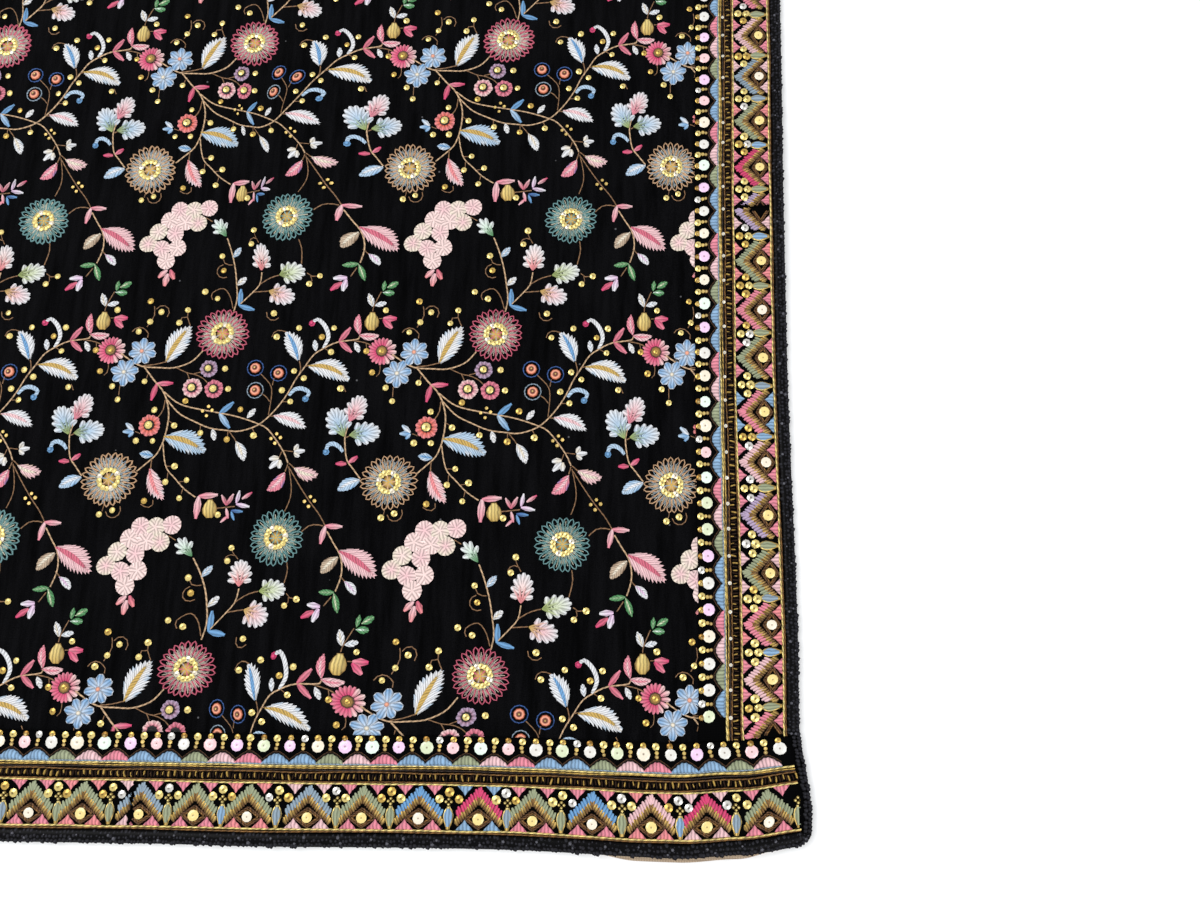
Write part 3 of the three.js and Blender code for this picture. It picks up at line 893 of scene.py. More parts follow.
def zinniaUnit(fine):
    work = Work("daisy", fine)
    loops = 25 if work.isFine else 17
    outline = [(0.5, 0.3), (0.74, 1.0), (0.92, 0.72), (1.0, 0.0), (0.92, -0.72), (0.74, -1.0), (0.5, -0.3)]
    within = [(0.42, 0.3), (0.66, 0.8), (0.84, 0.0), (0.66, -0.8), (0.42, -0.3)]
    if not work.isFine:
        outline = [outline[k] for k in (0, 1, 3, 5, 6)]
        within = [within[k] for k in (0, 2, 4)]
    for i in range(loops):
        outer = (outline, i + 0.12 * math.sin(3.1 * i), 0, 1 + 0.035 * math.sin(5.7 * i), 1)
        inner = (within, i + 0.5 + 0.14 * math.sin(2.3 * i), 1, 1 + 0.05 * math.sin(3.7 * i), 0.75)
        for shape, turn, share, far, thickness in (outer, inner):
            away = heading(360 * turn / loops)
            left = np.array([-away[1], away[0]])
            path = [away * far * a + left * zinnia["width"] * b for a, b in shape]
            addThread(work, path, zinnia["thread"] * thickness, 0.055, "white", share=share)
        for off in (-0.24, 0.02, 0.26) if work.isFine else (0,):
            away = heading(360 * (i + off + 0.05 * math.sin(4.9 * i)) / loops)
            reach = 0.8 - 0.6 * abs(off) + 0.07 * math.sin(4.1 * i + 9 * off)
            addThread(work, [away * 0.42, away * reach], 0.03, 0.05, "white", share=2)
    for i in range(7):
        away = heading(360 * i / 7)
        addThread(work, [away * 0.05, away * 0.16, away * 0.27], 0.075, 0.05, "white", share=i % 2)
    work.dome((0, 0), [0.25, 0.1], [0.01, 0.03], 8, [shade("brown"), shade("gold")])
    return workObject(work)


# ---- the flower repeat, placed round its pink flower

repeat = {
    "across": 132,
    "along": 157.9,
    "firstX": 291.5,
    "firstY": -634.0,
    "fieldX": halfWidth - sideBorder["width"],
    "fieldY": halfLength - hemBorder["width"],
    "nearX": -150,  # the shapes are finer beyond this and below the next
    "nearY": -400,
    "tuck": 3,  # work is cut off this far under the border
    "flatFrom": -0.6,  # past here, over the border's inner edge, the work lies flat
    "flat": 0.25,
    "clear": 1.6,  # sequins stay this far from the border
}

# The repeat's chart, in whole and half millimetres from the middle of its pink flower
# Stems: width, points
stemPaths = [
    (1.15, [(5, -1.5), (11, -5.5), (16.5, -8), (24.5, -8.5), (32, -8.5), (40, -5.5), (45, 0)]),
    (1.25, [(17.5, -8.5), (23.5, -15.5), (27, -19), (30, -24), (32, -31), (32, -38), (31, -44.5)]),
    (1.1, [(31, -44.5), (29, -50), (26.5, -53), (20, -59)]),
    (1.1, [(28.5, -20.5), (35, -25.5), (42, -28), (55.5, -30.5), (65.5, -32.5), (76, -36), (81, -39),
            (88.5, -48.5),
           (91.5, -54.5)]),
    (1.1, [(30.5, -24.5), (37, -31), (45, -35), (52.5, -38), (60, -39), (66, -39.5), (72, -38), (76, -36),
           (80, -32.5), (84.5, -27), (88.5, -20.5), (91.5, -14), (95.5, -7.5), (99, -2), (103, 1), (110, 4.5),
           (119.5, 6), (121, 8)]),
    (1.0, [(31, -45.5), (32.5, -53), (34.5, -58), (38.5, -62), (43.5, -67), (49.5, -71)]),
    (1.1, [(112.5, -86), (116, -91.5), (119, -96), (120.5, -101), (120.5, -106.5), (118.5, -113)]),
    (1.1, [(51, -100), (54, -107.5), (56.5, -116), (58, -124), (59, -131.5), (58, -138)]),
    (1.1, [(-6, -61.5), (-10, -56.5), (-13, -52.5), (-14.5, -44.5), (-14.5, -40.5), (-13, -34.5)]),
    (1.0, [(61, -134), (66.5, -128), (69.5, -124), (70.5, -118)]), (0.9, [(17, -7.5), (22, -7), (28, -5.5)]),
    (0.9, [(26.5, -53), (26.5, -58)]), (0.9, [(117, 5.5), (124.5, 4), (129, 1)]),
    (0.9, [(29.5, -24.5), (29, -29.5), (27, -33)]),
    (0.8, [(33, -8.5), (38.5, -11), (43, -12), (47, -14), (49, -16)]),
    (0.8, [(42, -11.5), (45.5, -10.5)]), (0.8, [(38.5, -11), (40, -14)]),
    (0.8, [(80, -31.5), (80.5, -25.5), (80.5, -19.5), (79, -16), (74.5, -11.5)]),
    (0.8, [(80, -25), (78, -22.5), (75.5, -21)]), (0.8, [(80.5, -17), (80.5, -15), (81, -13.5)]),
    (0.9, [(92, -13.5), (93.5, -9.5), (92.5, -5)]), (0.8, [(85, 9.5), (81.5, 10.5), (79, 9.5), (78, 7)]),
    (0.9, [(95.5, -7.5), (98, -7)]), (0.9, [(80, -32), (83, -32)]),
    (0.8, [(62, -39.5), (64.5, -42.5), (66, -44.5)]),
    (0.9, [(91.5, -55), (90.5, -58.5)]), (0.9, [(92, -54.5), (95, -57)]),
    (0.8, [(92, -56), (94, -65), (94, -71), (92, -77)]),
    (0.9, [(92.5, -57), (97.5, -64.5), (103, -72), (108, -78), (111.5, -83.5)]),
    (0.9, [(100.5, -86.5), (104, -83.5), (107.5, -83), (110.5, -83.5)]),
    (0.8, [(120, -106), (122.5, -108.5)]),
    (0.9, [(117, -115.5), (114, -120)]), (0.9, [(93, -102), (93.5, -107), (92, -114)]),
    (0.9, [(69.5, -124), (74.5, -121), (79.5, -119.5)]), (0.9, [(67, -128), (74, -127.5)]),
    (0.8, [(70, -103), (68.5, -100.5), (65.5, -100.5), (64, -103)]), (0.7, [(68.5, -100.5), (67.5, -98)]),
    (0.8, [(94, -118.5), (95.5, -120), (99, -120)]), (0.7, [(95.5, -120), (96, -122), (94.5, -124)]),
    (0.8, [(57.5, -136.5), (55.5, -130.5), (52.5, -126.5), (49.5, -126.5), (46, -129), (47, -132)]),
    (0.8, [(55, -114), (51.5, -113.5), (50, -111)]), (0.8, [(39, -89), (42.5, -91)]),
    (0.9, [(-14, -42), (-12, -41)]),
    (0.8, [(29.5, -72.5), (29.5, -75), (27, -76), (24, -74.5)]), (0.9, [(60, -76), (68.5, -75)]),
    (0.8, [(126, 20), (126.5, 23), (129.5, 30)]), (0.8, [(18.5, 22.5), (19, 18), (17.5, 14.5), (16, 12)]),
    (0.8, [(17, 6.5), (17, 9), (14, 11.5), (11, 11.5), (9, 9.5)]),
    (0.8, [(35.5, 19.5), (35.5, 17), (37.5, 12.5)]),
    (0.8, [(35.5, 17), (33, 17), (32, 14)]), (0.8, [(114.5, -17), (116, -20)]),
    (0.7, [(129.5, 16.5), (132, 16.5)]),
    (0.7, [(-0.5, -7), (-0.5, -10.5), (-2, -12.5)]), (0.7, [(6.5, -17.5), (6.5, -22.5)]),
    (0.7, [(19.5, -12), (19, -14)]), (0.7, [(104, 1.5), (106.5, 0)]), (0.7, [(86, -25), (88.5, -25)]),
    (0.7, [(32, -34.5), (34.5, -36)]), (0.7, [(48, -36.5), (48, -39)]), (0.7, [(61.5, -39.5), (61.5, -42)]),
    (0.7, [(73, -38), (74, -40)]), (0.7, [(89, -48.5), (93.5, -49)]), (0.7, [(88, -49), (87, -52)]),
    (0.7, [(34, -56.5), (36.5, -56.5)]), (0.7, [(35, -59.5), (35, -62.5)]), (0.7, [(40.5, -64), (43, -63.5)]),
    (0.7, [(43, -67), (42.5, -69.5)]), (0.7, [(6.5, -75), (6, -78)]), (0.7, [(124, 4), (124.5, 1)]),
    (0.7, [(17, -40), (19.5, -41)]),
]

# Leaves: base, tip, width, body, rib, edge, bend
leafRows = [
    ((28, -5.5), (37.5, 12), 11, "white", "gold", "paleBlue", 0.04),
    ((92, -4.5), (85, 9.5), 8.5, "white", "skyBlue", "white", -0.06),
    ((97.5, -7.5), (117, -14.5), 10, "white", "gold", "paleBlue", 0.12),
    ((83, -32), (98, -37.5), 7.5, "white", "palePink", "white", 0.08),
    ((31.5, -42.5), (51.5, -49.5), 11, "paleBlue", "gold", "white", 0.08),
    ((26.5, -58), (34, -72), 7.5, "palePink", "salmon", "white", -0.08),
    ((119, -95), (136, -106), 11.5, "palePink", "rose", "palePink", 0.05),
    ((-6, -62), (-16, -67), 6, "paleBlue", "white", "skyBlue", -0.06),
    ((55, -110), (59, -105), 3.5, "paleBlue", "white", "white", 0),
    ((58.5, -124.5), (62.5, -120.5), 3.5, "white", "cream", "white", 0),
    ((70, -33), (73.5, -28.5), 3, "white", "cream", "white", 0),
    ((54, -38.5), (55.5, -44), 3, "white", "cream", "white", 0),
    ((100, 0), (99, 5.5), 3, "white", "paleBlue", "white", 0),
    ((118.5, -97.5), (111, -105.5), 6, "beige", "cream", "brown", -0.06),
    ((122.5, -108.5), (128, -114), 4, "white", "lilac", "white", 0.05),
    ((90.5, -59), (83, -67.5), 6, "pink", "palePink", "deepBlue", 0.1),
    ((95, -57), (106, -60), 6.5, "palePink", "cream", "beige", -0.1),
    ((66, -44.5), (70.5, -53.5), 5, "white", "cream", "greyBlue", 0.05),
    ((27, -51.5), (20.5, -50.5), 4, "paleBlue", "skyBlue", "white", 0),
    ((126, 22.5), (123.5, 29), 3.5, "white", "cream", "white", 0),
    ((127, 23), (132.5, 24.5), 3, "white", "paleBlue", "white", 0),
    ((130.5, 30.5), (131, 35.5), 2.5, "green", "palestGreen", "green", 0),
    ((132.5, 32), (137.5, 35), 3.5, "green", "palestGreen", "green", 0),
    ((130.5, 29.5), (136, 29.5), 3.5, "green", "mint", "green", 0),
    ((118, -113.5), (110.5, -114.5), 3, "green", "palestGreen", "green", 0),
    ((118, -114), (121, -122), 3.5, "green", "palestGreen", "green", 0),
    ((120.5, 8.5), (119.5, 18.5), 4, "pink", "palePink", "pink", 0.08),
    ((120.5, 8), (130, 8), 4, "palePink", "pink", "palePink", -0.08),
    ((118.5, 4.5), (121, -0.5), 3, "white", "cream", "white", 0),
]

# Petals that stand alone or in pairs from one point: foot, direction, length, colour, inner colour
veeRows = [
    ((24.5, -16.5), 2, 8, "hotPink", "pink"), ((24.5, -16.5), 257, 8.5, "hotPink", "rose"),
    ((56.5, -31), 42, 8.5, "skyBlue", "skyBlue"), ((56.5, -31), 308, 9, "skyBlue", "paleBlue"),
    ((111, 5), 54, 8.5, "pink", "rose"), ((111, 5), 319, 8.5, "pink", "rose"),
    ((60.5, -135), 90, 8.5, "skyBlue", "skyBlue"), ((60.5, -135), 344, 8, "skyBlue", "skyBlue"),
    ((111.5, -83.5), 358, 8, "palePink", "pink"), ((111.5, -83.5), 258, 8.5, "pink", "palePink"),
    ((51, -70.5), 5, 9, "palePink", "pink"), ((51, -70.5), 268, 10.5, "pink", "palePink"),
    ((64.5, -74.5), 120, 5.5, "palePink", "rose"), ((64.5, -74.5), 62, 6, "palePink", "rose"),
    ((64.5, -76), 285, 5, "pink", "palePink"), ((65.5, -79.5), 225, 4.5, "palePink", "pink"),
    ((67, -77), 355, 5.5, "skyBlue", "deepBlue"), ((67, -77.5), 290, 4.5, "skyBlue", "skyBlue"),
    ((69, -73.5), 80, 6, "white", "lilac"), ((69, -74), 350, 6.5, "white", "lilac"),
    ((71.5, -71.5), 35, 5.5, "hotPink", "palePink"),
]

# Flowers of petals: place, size, petals, inner, outer, rim, sweep, fatness, the hub's share of the size
flowerRows = [
    ((0, 0), 13.5, 13, "hotPink", "pink", None, (62, 290), 1.5, 0.17),
    ((0, 0), 14, 5, "pink", "blush", None, (-75, 68), 1.1, 0.17),
    ((15.5, -0.5), 13.5, 7, "iceBlue", "skyBlue", "white", (12, 372), 0.85, 0.08),
    ((8, -11), 13.5, 7, "iceBlue", "skyBlue", "white", (38, 398), 0.85, 0.08),
    ((49, -9), 8.5, 11, "mauve", "lavender", None, (0, 360), 1.7, 0.2),
    ((42, -18.5), 9.5, 11, "pink", "blush", None, (10, 370), 1.7, 0.22),
    ((52.5, -19), 9, 11, "rose", "pink", None, (20, 380), 1.7, 0.22),
    ((23.5, -37), 10.5, 12, "orange", "salmon", None, (0, 360), 1.7, 0.16),
]

# Flower middles: place, radius, outer and inner tone, size and tone of the sequin on it (0 for none)
middleRows = [
    ((0, 0), 2.9, "darkBrown", "oldGold", 2.6, "gold"), ((15.5, -0.5), 1.4, "paleBlue", "peach", 0, ""),
    ((8, -11), 1.4, "paleBlue", "cream", 0, ""), ((49, -9), 2.4, "black", "black", 3.3, "paleGold"),
    ((42, -18.5), 2.6, "black", "black", 3.6, "paleGold"),
    ((52.5, -19), 2.5, "black", "black", 3.5, "paleGold"),
    ((23.5, -37), 2.7, "black", "black", 3.9, "paleGold"),
]

# Small buds: foot, end, width, colour, inner colour
budRows = [
    ((16, -39.5), (12, -36), 3, "paleBlue", "white"), ((16, -40), (11, -40), 3, "paleBlue", "skyBlue"),
    ((16, -40), (14, -42.5), 2.5, "skyBlue", "paleBlue"), ((131.5, 16.5), (138, 16.5), 4, "hotPink", "pink"),
    ((131.5, 16), (136, 11.5), 4, "pink", "hotPink"),
    ((94, -48.5), (95.5, -45.5), 3, "white", "cream"), ((94, -49), (99, -48.5), 3, "white", "white"),
    ((94, -49.5), (96.5, -51.5), 3, "white", "cream"), ((87, -52), (82.5, -52.5), 3.5, "white", "cream"),
    ((87, -53), (83, -57), 3.5, "white", "white"), ((87.5, -53), (87.5, -57), 3.5, "white", "cream"),
    ((112.5, -120.5), (106, -121), 3.5, "white", "lilac"),
    ((110, -123), (104.5, -127), 3.5, "hotPink", "rose"),
    ((112, -121.5), (110.5, -127.5), 4, "white", "lilac"),
    ((22.5, -116.5), (18.5, -120.5), 3.5, "salmon", "palePink"),
    ((24, -116.5), (26.5, -121.5), 3.5, "salmon", "rose"),
    ((23, -118.5), (22, -125), 4, "salmon", "palePink"),
    ((-13, -54.5), (-18, -54.5), 3, "hotPink", "rose"), ((-12, -54), (-8, -51), 3, "hotPink", "pink"),
]

# Half flowers seen from the side: foot, direction, length, petals, spread, colour, root colour, calyx colour
fanRows = [
    ((50.5, -99), 128, 12, 5, 150, "white", "mint", "green"),
    ((70.5, -117), 86, 14.5, 9, 210, "white", "blush", "salmon"),
    ((80, -119.5), 12, 14.5, 9, 210, "white", "palestGreen", "leafGreen"),
    ((74.5, -127.5), 342, 14.5, 9, 210, "white", "palePink", "gold"),
    ((-13, -34.5), 67, 14.5, 9, 190, "white", "palePink", "pink"),
    ((-15, -41.5), 118, 16, 9, 190, "white", "paleBlue", "leafGreen"),
    ((-12.5, -41), 8, 15.5, 9, 195, "white", "paleBlue", "leafGreen"),
]

# Striped buds of gold thread: foot, tip, width
goldBuds = [((126, 10.5), (126, 19.5), 7.5), ((57, -80.5), (56.5, -72), 7.5)]

# Brown threads that curl round a sequin: its place, where the curl starts and how far it turns, in degrees
curlRows = [((11, -77.5), 190, 200), ((51, -117), 100, 200), ((78, -139), 320, -150),
            ((22.5, 19.5), 150, -190)]

blossomPlaces = [
    (40, -84), (32.5, -85), (25.5, -85), (29, -91.5), (35.5, -92), (21, -90.5), (24.5, -97.5), (16, -96.5),
    (18.5, -105.5), (26.5, -105), (11.5, -103), (21.5, -112),
]

# Dots in a dark ring: place, ring colour
dotRows = [((71.5, -8.5), "deepBlue"), ((83, -11), "deepBlue"), ((72.5, -19.5), "greyBlue")]

# Hooks of light thread: points, colours of the line and of the knob at its end
hookRows = [
    ([(89, -22), (91.5, -19), (95, -18.5), (98.5, -20.5), (97, -23.5)], "paleBlue", "skyBlue"),
    ([(103.5, 1.5), (105.5, 7), (103.5, 12.5), (99.5, 16), (97, 14)], "white", "hotPink"),
    ([(-15, -49), (-17, -46.5), (-20, -45), (-22.5, -46), (-23, -49)], "paleBlue", "skyBlue"),
]

# Daisies of the repeat: place, size, colours of rim, inner loops and spokes
zinniaRows = [
    ((54, 8.5), 25.5, "rose", "taupe", "oat"),
    ((7.5, -63), 26, "sand", "greyBlue", "oat"),
    ((88.5, -90.5), 25, "paleTeal", "seaGreen", "oat"),
]

# Where the drawing of the repeat has slipped: place, reach, shift
drifts = [(112, -665, 45, -9, 0), (118, -720, 45, -9, 2), (105, -912, 45, 4, 6), (168, -955, 60, -2, -5),
          (130, -950, 50, -6, 1)]

# Single sequins of the repeat: x, y
sprigSequins = [
    (16.5, 25), (22.5, 19.5), (17.5, 14.5), (12.5, 9.5), (32, 14), (35.5, 20.5), (-4, -10.5), (3, -18),
    (6.5, -24.5),
    (18.5, -15.5), (57, -9), (59.5, -19), (39.5, -25), (80.5, 7), (85.5, -19.5), (95.5, -13.5), (90.5, -10),
    (90, -25), (66.5, -29), (25, -29.5), (35.5, -37), (18, -44.5), (26, -44.5), (48.5, -40.5), (61.5, -43.5),
    (74, -41.5), (38, -56.5), (34.5, -64), (44.5, -63), (42, -71.5), (25.5, -73), (5, -79.5), (11, -77.5),
    (67.5, -96.5), (65.5, -103.5), (49.5, -109.5), (51, -117), (43, -128), (49.5, -131.5), (94.5, -124),
    (100, -120), (78, -139), (102.5, 7), (107.5, -0.5), (91, 11.5), (61, -79), (113.5, -18.5), (108, 11.5),
    (124.5, 0), (132.5, 20.5),
]

# Four small beads round one point
beadDiamonds = [(51, -30), (85, -43), (103.5, -72.5)]


def addFan(work, foot, turn, length, petals, spread, colour, root, calyx):
    foot = np.array(foot, float)
    ahead, left = heading(turn), heading(turn + 90)
    for i in range(petals):
        off = math.radians(spread * (i / (petals - 1) - 0.5))
        start = foot + ahead * length * (0.24 + 0.22 * math.cos(off))
        end = foot + ahead * length * (0.36 + 0.58 * math.cos(off)) + left * length * 0.36 * math.sin(off)
        addPetal(work, start, end, length * 0.25, root, colour, full=1.35)
    sepals = 4 if work.isFine else 2
    for i in range(sepals):
        away = heading(turn + spread * 0.3 * (i / (sepals - 1) - 0.5))
        end = foot + away * length * 0.56
        addPetal(work, foot, end, length * 0.09, calyx, root, full=1.0, count=4, lift=0.4)


# The stitch work of one repeat, and its beads
def makeStitches(fine):
    work, beads = Work("stitches", fine), []
    for base, tip, width, body, rib, edge, bend in leafRows:
        small = width < 6.2
        addLeaf(work, base, tip, width, body, rib, edge, bend, 0.03 if small else 0.1, 0.8 if small else 1.0)
    for foot, turn, length, colour, inner in veeRows:
        end = np.array(foot) + heading(turn) * length
        addPetal(work, foot, end, length * 0.4, inner, colour, full=0.9, count=6)
    for row in flowerRows:
        addFlower(work, *row)
    for place, radius, outer, inner, size, tone in middleRows:
        work.dome(place, [radius, radius * 0.55], [0.75, 1.0], 8, [shade(outer), shade(inner)])
    for foot, end, width, colour, inner in budRows:
        addPetal(work, foot, end, width, inner, colour, full=1.0)
    for row in fanRows:
        addFan(work, *row)
    for foot, tip, width in goldBuds:
        addPetal(work, foot, tip, width, "gold", "paleGold", 1.1, full=0.8, count=7, rim="oldGold")
    for i, place in enumerate(blossomPlaces):
        tone, inner = ("blush", "cream", "blush")[i % 3], ("palePink", "blush")[i % 2]
        addFlower(work, place, 8.6, 5, inner, tone, None, (31 * i, 31 * i + 360), 1.3, 0, 0.4)
    for place, ring in dotRows:
        tones = [shade(name) for name in ("rust", "peach", "darkRust")]
        work.dome(place, [2.6, 1.7, 0.8], [0.1, 0.9, 0.7], 9, tones)
        addRing(work, place, 3.9, 0.6, 0.5, ring)
        beads.append((*place, 0.8, 1.1, "oldGold"))
    for points, colour, knob in hookRows:
        path = softPath(points, 1.4)
        ends = 0.6 + 0.8 * np.sin(np.pi * np.linspace(0.12, 0.85, len(path)))
        addThread(work, path, 1.8, 0.9, colour, ends=ends)
        work.dome(points[-1], [1.6, 1.0], [0, 0.9], 7, [shade(knob), shade(knob)])
    for x, y in beadDiamonds:
        for dx, dy in ((2.3, 0.4), (-2.3, 0), (0.3, 2.3), (-0.2, -2.3)):
            beads.append((x + dx, y + dy, 0.3, 1.7, "gold"))
    return work, beads


# Places of the repeat over the field and one beyond it on each side
def latticePlaces():
    columns = range(-2, int(2 * repeat["fieldX"] / repeat["across"]) + 3)
    rows = range(-3, int(2 * repeat["fieldY"] / repeat["along"]) + 3)
    places = [(repeat["firstX"] - repeat["across"] * k, repeat["firstY"] + repeat["along"] * j, 0)
              for k in columns for j in rows]
    return [(x, y, z) for x, y, z in places
            if abs(x + 60) < repeat["fieldX"] + 80 and abs(y - 60) < repeat["fieldY"] + 110]


# Work beyond the border's inner edge is cut off, and what is tucked under it lies flat
def fieldOnly(arrays):
    points = arrays["points"]
    over = np.maximum(np.abs(points[:, 0]) - repeat["fieldX"], np.abs(points[:, 1]) - repeat["fieldY"])
    kept = keepFaces(arrays, over < repeat["tuck"])
    points = kept["points"]
    over = np.maximum(np.abs(points[:, 0]) - repeat["fieldX"], np.abs(points[:, 1]) - repeat["fieldY"])
    pressed = np.minimum(points[:, 2], repeat["flat"])
    points[:, 2] = np.where(over > repeat["flatFrom"], pressed, points[:, 2])
    return kept


def cupUnit(name, sides, radii, heights, hole):
    unit = Work(name)
    unit.dome((0, 0), radii, heights, sides, [shade("white")] * (len(radii) - 1) + [shade(hole)], share=0)
    unit.shares[-1] = np.array(unit.shares[-1])
    unit.shares[-1][-1] = 0
    return workObject(unit)


sequinUnit = cupUnit("smallSequin", 8, [0.5, 0.24], [0.04, 0.17], "darkBrown")
farSequinUnit = cupUnit("farSequin", 5, [0.5, 0.24], [0.04, 0.17], "darkBrown")
bigSequinUnit = cupUnit("bigSequin", 10, [0.5, 0.33, 0.12], [0.02, 0.1, 0.05], "brown")
beadUnit = cupUnit("bead", 6, [0.5], [0.42], "paleGold")


# Sequins or beads given as x, y, height, size, colour
def scatterCups(unit, rows, finish, sizeChance=0.08, seed=5):
    places = [row[:3] for row in rows]
    tilts = np.stack([dice.uniform(-0.09, 0.09, len(rows)), dice.uniform(-0.09, 0.09, len(rows)),
                      dice.uniform(0, 6, len(rows))], 1)
    return scatter(unit, places, finish, turns=tilts, sizes=np.array([row[3] for row in rows]),
                   tints=[[row[4] for row in rows]], sizeChance=sizeChance, seed=seed)


# Stems and curls, swept along their paths
def makeStems(step):
    paths = [(width, "stem" if width > 0.95 else "twig", path) for width, path in stemPaths]
    for place, start, sweep in curlRows:
        turns = start + sweep * np.linspace(0, 1, 6)
        reach = 3.3 + 0.5 * np.linspace(0, 1, 6)
        paths.append((0.8, "twig", [np.array(place) + heading(t) * r for t, r in zip(turns, reach)]))
    points, edges, widths, tones = [], [], [], []
    for width, tone, path in paths:
        start = len(points)
        points.extend((x, y, 0) for x, y in path)
        edges.extend((start + i, start + i + 1) for i in range(len(path) - 1))
        widths.extend([width * 0.7] * len(path))
        tones.extend([shade(tone)] * len(path))
    return sweepThreads(points, edges, widths, tones, finishes["stem"], step)


# A rounded line along each chain of points
def sweepThreads(points, edges, widths, tones, finish, step):
    mesh = bpy.data.meshes.new("threadPaths")
    mesh.from_pydata(points, edges, [])
    setAttribute(mesh, "width", "FLOAT", np.array(widths)[:, None])
    setAttribute(mesh, "threadColour", "FLOAT_COLOR", np.array(tones))
    profile = bpy.data.meshes.new("roundedLine")
    profile.from_pydata([(-0.5, 0.12, 0), (0, -0.62, 0), (0.5, 0.12, 0)], [(0, 1), (1, 2)], [])
    setAttribute(profile, "lean", "FLOAT", np.array([[-0.5], [0], [0.5]]))
    section = newObject("roundedLine", profile)
    values = {"Section": section, "Finish": finish, "Step": step}
    arrays = runTree(newObject("threadPaths", mesh), threadTree, values)
    bpy.data.objects.remove(section)
    return arrays


# Turns arrays into a unit object again, so that a tree can place copies of it
def unitFrom(name, arrays):
    mesh = bpy.data.meshes.new(name)
    starts = np.concatenate([[0], np.cumsum(arrays["sizes"])])
    faces = [arrays["corners"][a:b].tolist() for a, b in zip(starts[:-1], starts[1:])]
    mesh.from_pydata(arrays["points"].tolist(), [], faces)
    setAttribute(mesh, "threadColour", "FLOAT_COLOR", arrays["colour"])
    setAttribute(mesh, "grain", "FLOAT_VECTOR", arrays["grain"])
    return newObject(name, mesh)


# Flat points moved by the slips of the drawing
def drifted(points):
    points = np.asarray(points, float)
    moved = points.copy()
    for x, y, reach, dx, dy in drifts:
        share = ease(1 - np.hypot(points[:, 0] - x, points[:, 1] - y) / reach)
        moved[:, 0] += dx * share
        moved[:, 1] += dy * share
    return moved


# The repeat's copies, slipped where the drawing has
def repeated(arrays):
    return {**arrays, "points": drifted(arrays["points"])}


# Every daisy as place, size and colours
def allZinnias(places):
    rows = [((x + dx, y + dy), *look) for x, y, z in places for (dx, dy), *look in zinniaRows]
    return [(tuple(spot), *row[1:]) for spot, row in zip(drifted([row[0] for row in rows]), rows)]


# Every sequin of the field as x, y, height, size, colour
def allSequins(places, zinnias):
    rows = [(x + dx, y + dy, 0.3, 3.0, "gold" if i % 6 == 0 else "paleGold")
            for x, y, z in places for i, (dx, dy) in enumerate(sprigSequins)]
    rows.extend((x + place[0], y + place[1], 1.0, size, tone)
                for x, y, z in places for place, radius, outer, inner, size, tone in middleRows if size)
    sequins = [(*spot, *row[2:]) for spot, row in zip(drifted([row[:2] for row in rows]), rows)]
    for (x, y), across, *look in zinnias:
        for i in range(zinnia["sequins"]):
            away = heading(360 * i / zinnia["sequins"] + x) * across / 2 * zinnia["sequinRing"]
            tone = "cream" if i % 5 == 0 else "paleGold"
            sequins.append((x + away[0], y + away[1], 0.6 + 0.15 * (i % 2), zinnia["sequin"], tone))
    edgeX, edgeY = repeat["fieldX"] - repeat["clear"], repeat["fieldY"] - repeat["clear"]
    return [row for row in sequins if abs(row[0]) < edgeX and abs(row[1]) < edgeY]


def isClose(row, extraX=0, extraY=0):
    return row[0] > repeat["nearX"] + extraX and row[1] < repeat["nearY"] + extraY


def placedOnce(arrays, name, places, finish):
    unit = unitFrom(name, arrays)
    made = scatter(unit, places, finish)
    bpy.data.objects.remove(unit)
    return made


def layRepeat():
    places = latticePlaces()
    zinnias = allZinnias(places)
    sequins = allSequins(places, zinnias)
    stems = []
    for label, fine, step, sequin in (("near", 1.0, 2.0, sequinUnit), ("far", 0.5, 4.2, farSequinUnit)):
        isNear = label == "near"
        here = [place for place in places if isClose(place) == isNear]
        work, beads = makeStitches(fine)
        unit = workObject(work)
        arrays = repeated(scatter(unit, here, finishes["satin"]))
        bpy.data.objects.remove(unit)
        stems.append(repeated(placedOnce(makeStems(step), "stems", here, finishes["stem"])))
        laidPiece(f"stitched_flowers_{label}", fieldOnly(arrays), shawl["thickness"], finishes["satin"])
        rows = [row for row in zinnias if isClose(row[0], 75, 30) == isNear]
        unit = zinniaUnit(fine)
        arrays = scatter(unit, [(*row[0], 0.1) for row in rows], finishes["loops"],
                         dice.uniform(0, 6, len(rows)), [row[1] / 2 for row in rows],
                         [[row[k] for row in rows] for k in (2, 3, 4)])
        bpy.data.objects.remove(unit)
        laidPiece(f"zinnia_loops_{label}", fieldOnly(arrays), shawl["thickness"], finishes["loops"])
        rows = [row for row in sequins if isClose(row, 60) == isNear]
        laidPiece(f"field_sequins_{label}", scatterCups(sequin, rows, finishes["giltSequin"]),
                  shawl["thickness"], finishes["giltSequin"])
    laidPiece("couched_stems", fieldOnly(joined(stems)), shawl["thickness"], finishes["stem"])
    cluster = scatterCups(beadUnit, beads, finishes["giltCord"])
    arrays = repeated(placedOnce(cluster, "beads", places, finishes["giltCord"]))
    laidPiece("field_beads", fieldOnly(arrays), shawl["thickness"], finishes["giltCord"])


layRepeat()
print("flowers laid")


# ---- the border: four strips, each worked in its own run: distance along, distance in from the outer edge

sideEnd = halfLength - hemBorder["width"] - seam
strips = {
    "hem": {"origin": (0, -halfLength), "turn": 0, "border": hemBorder},
    "right": {"origin": (halfWidth, 0), "turn": 90, "border": sideBorder},
    "top": {"origin": (0, halfLength), "turn": 180, "border": hemBorder},
    "left": {"origin": (-halfWidth, 0), "turn": 270, "border": sideBorder},
}

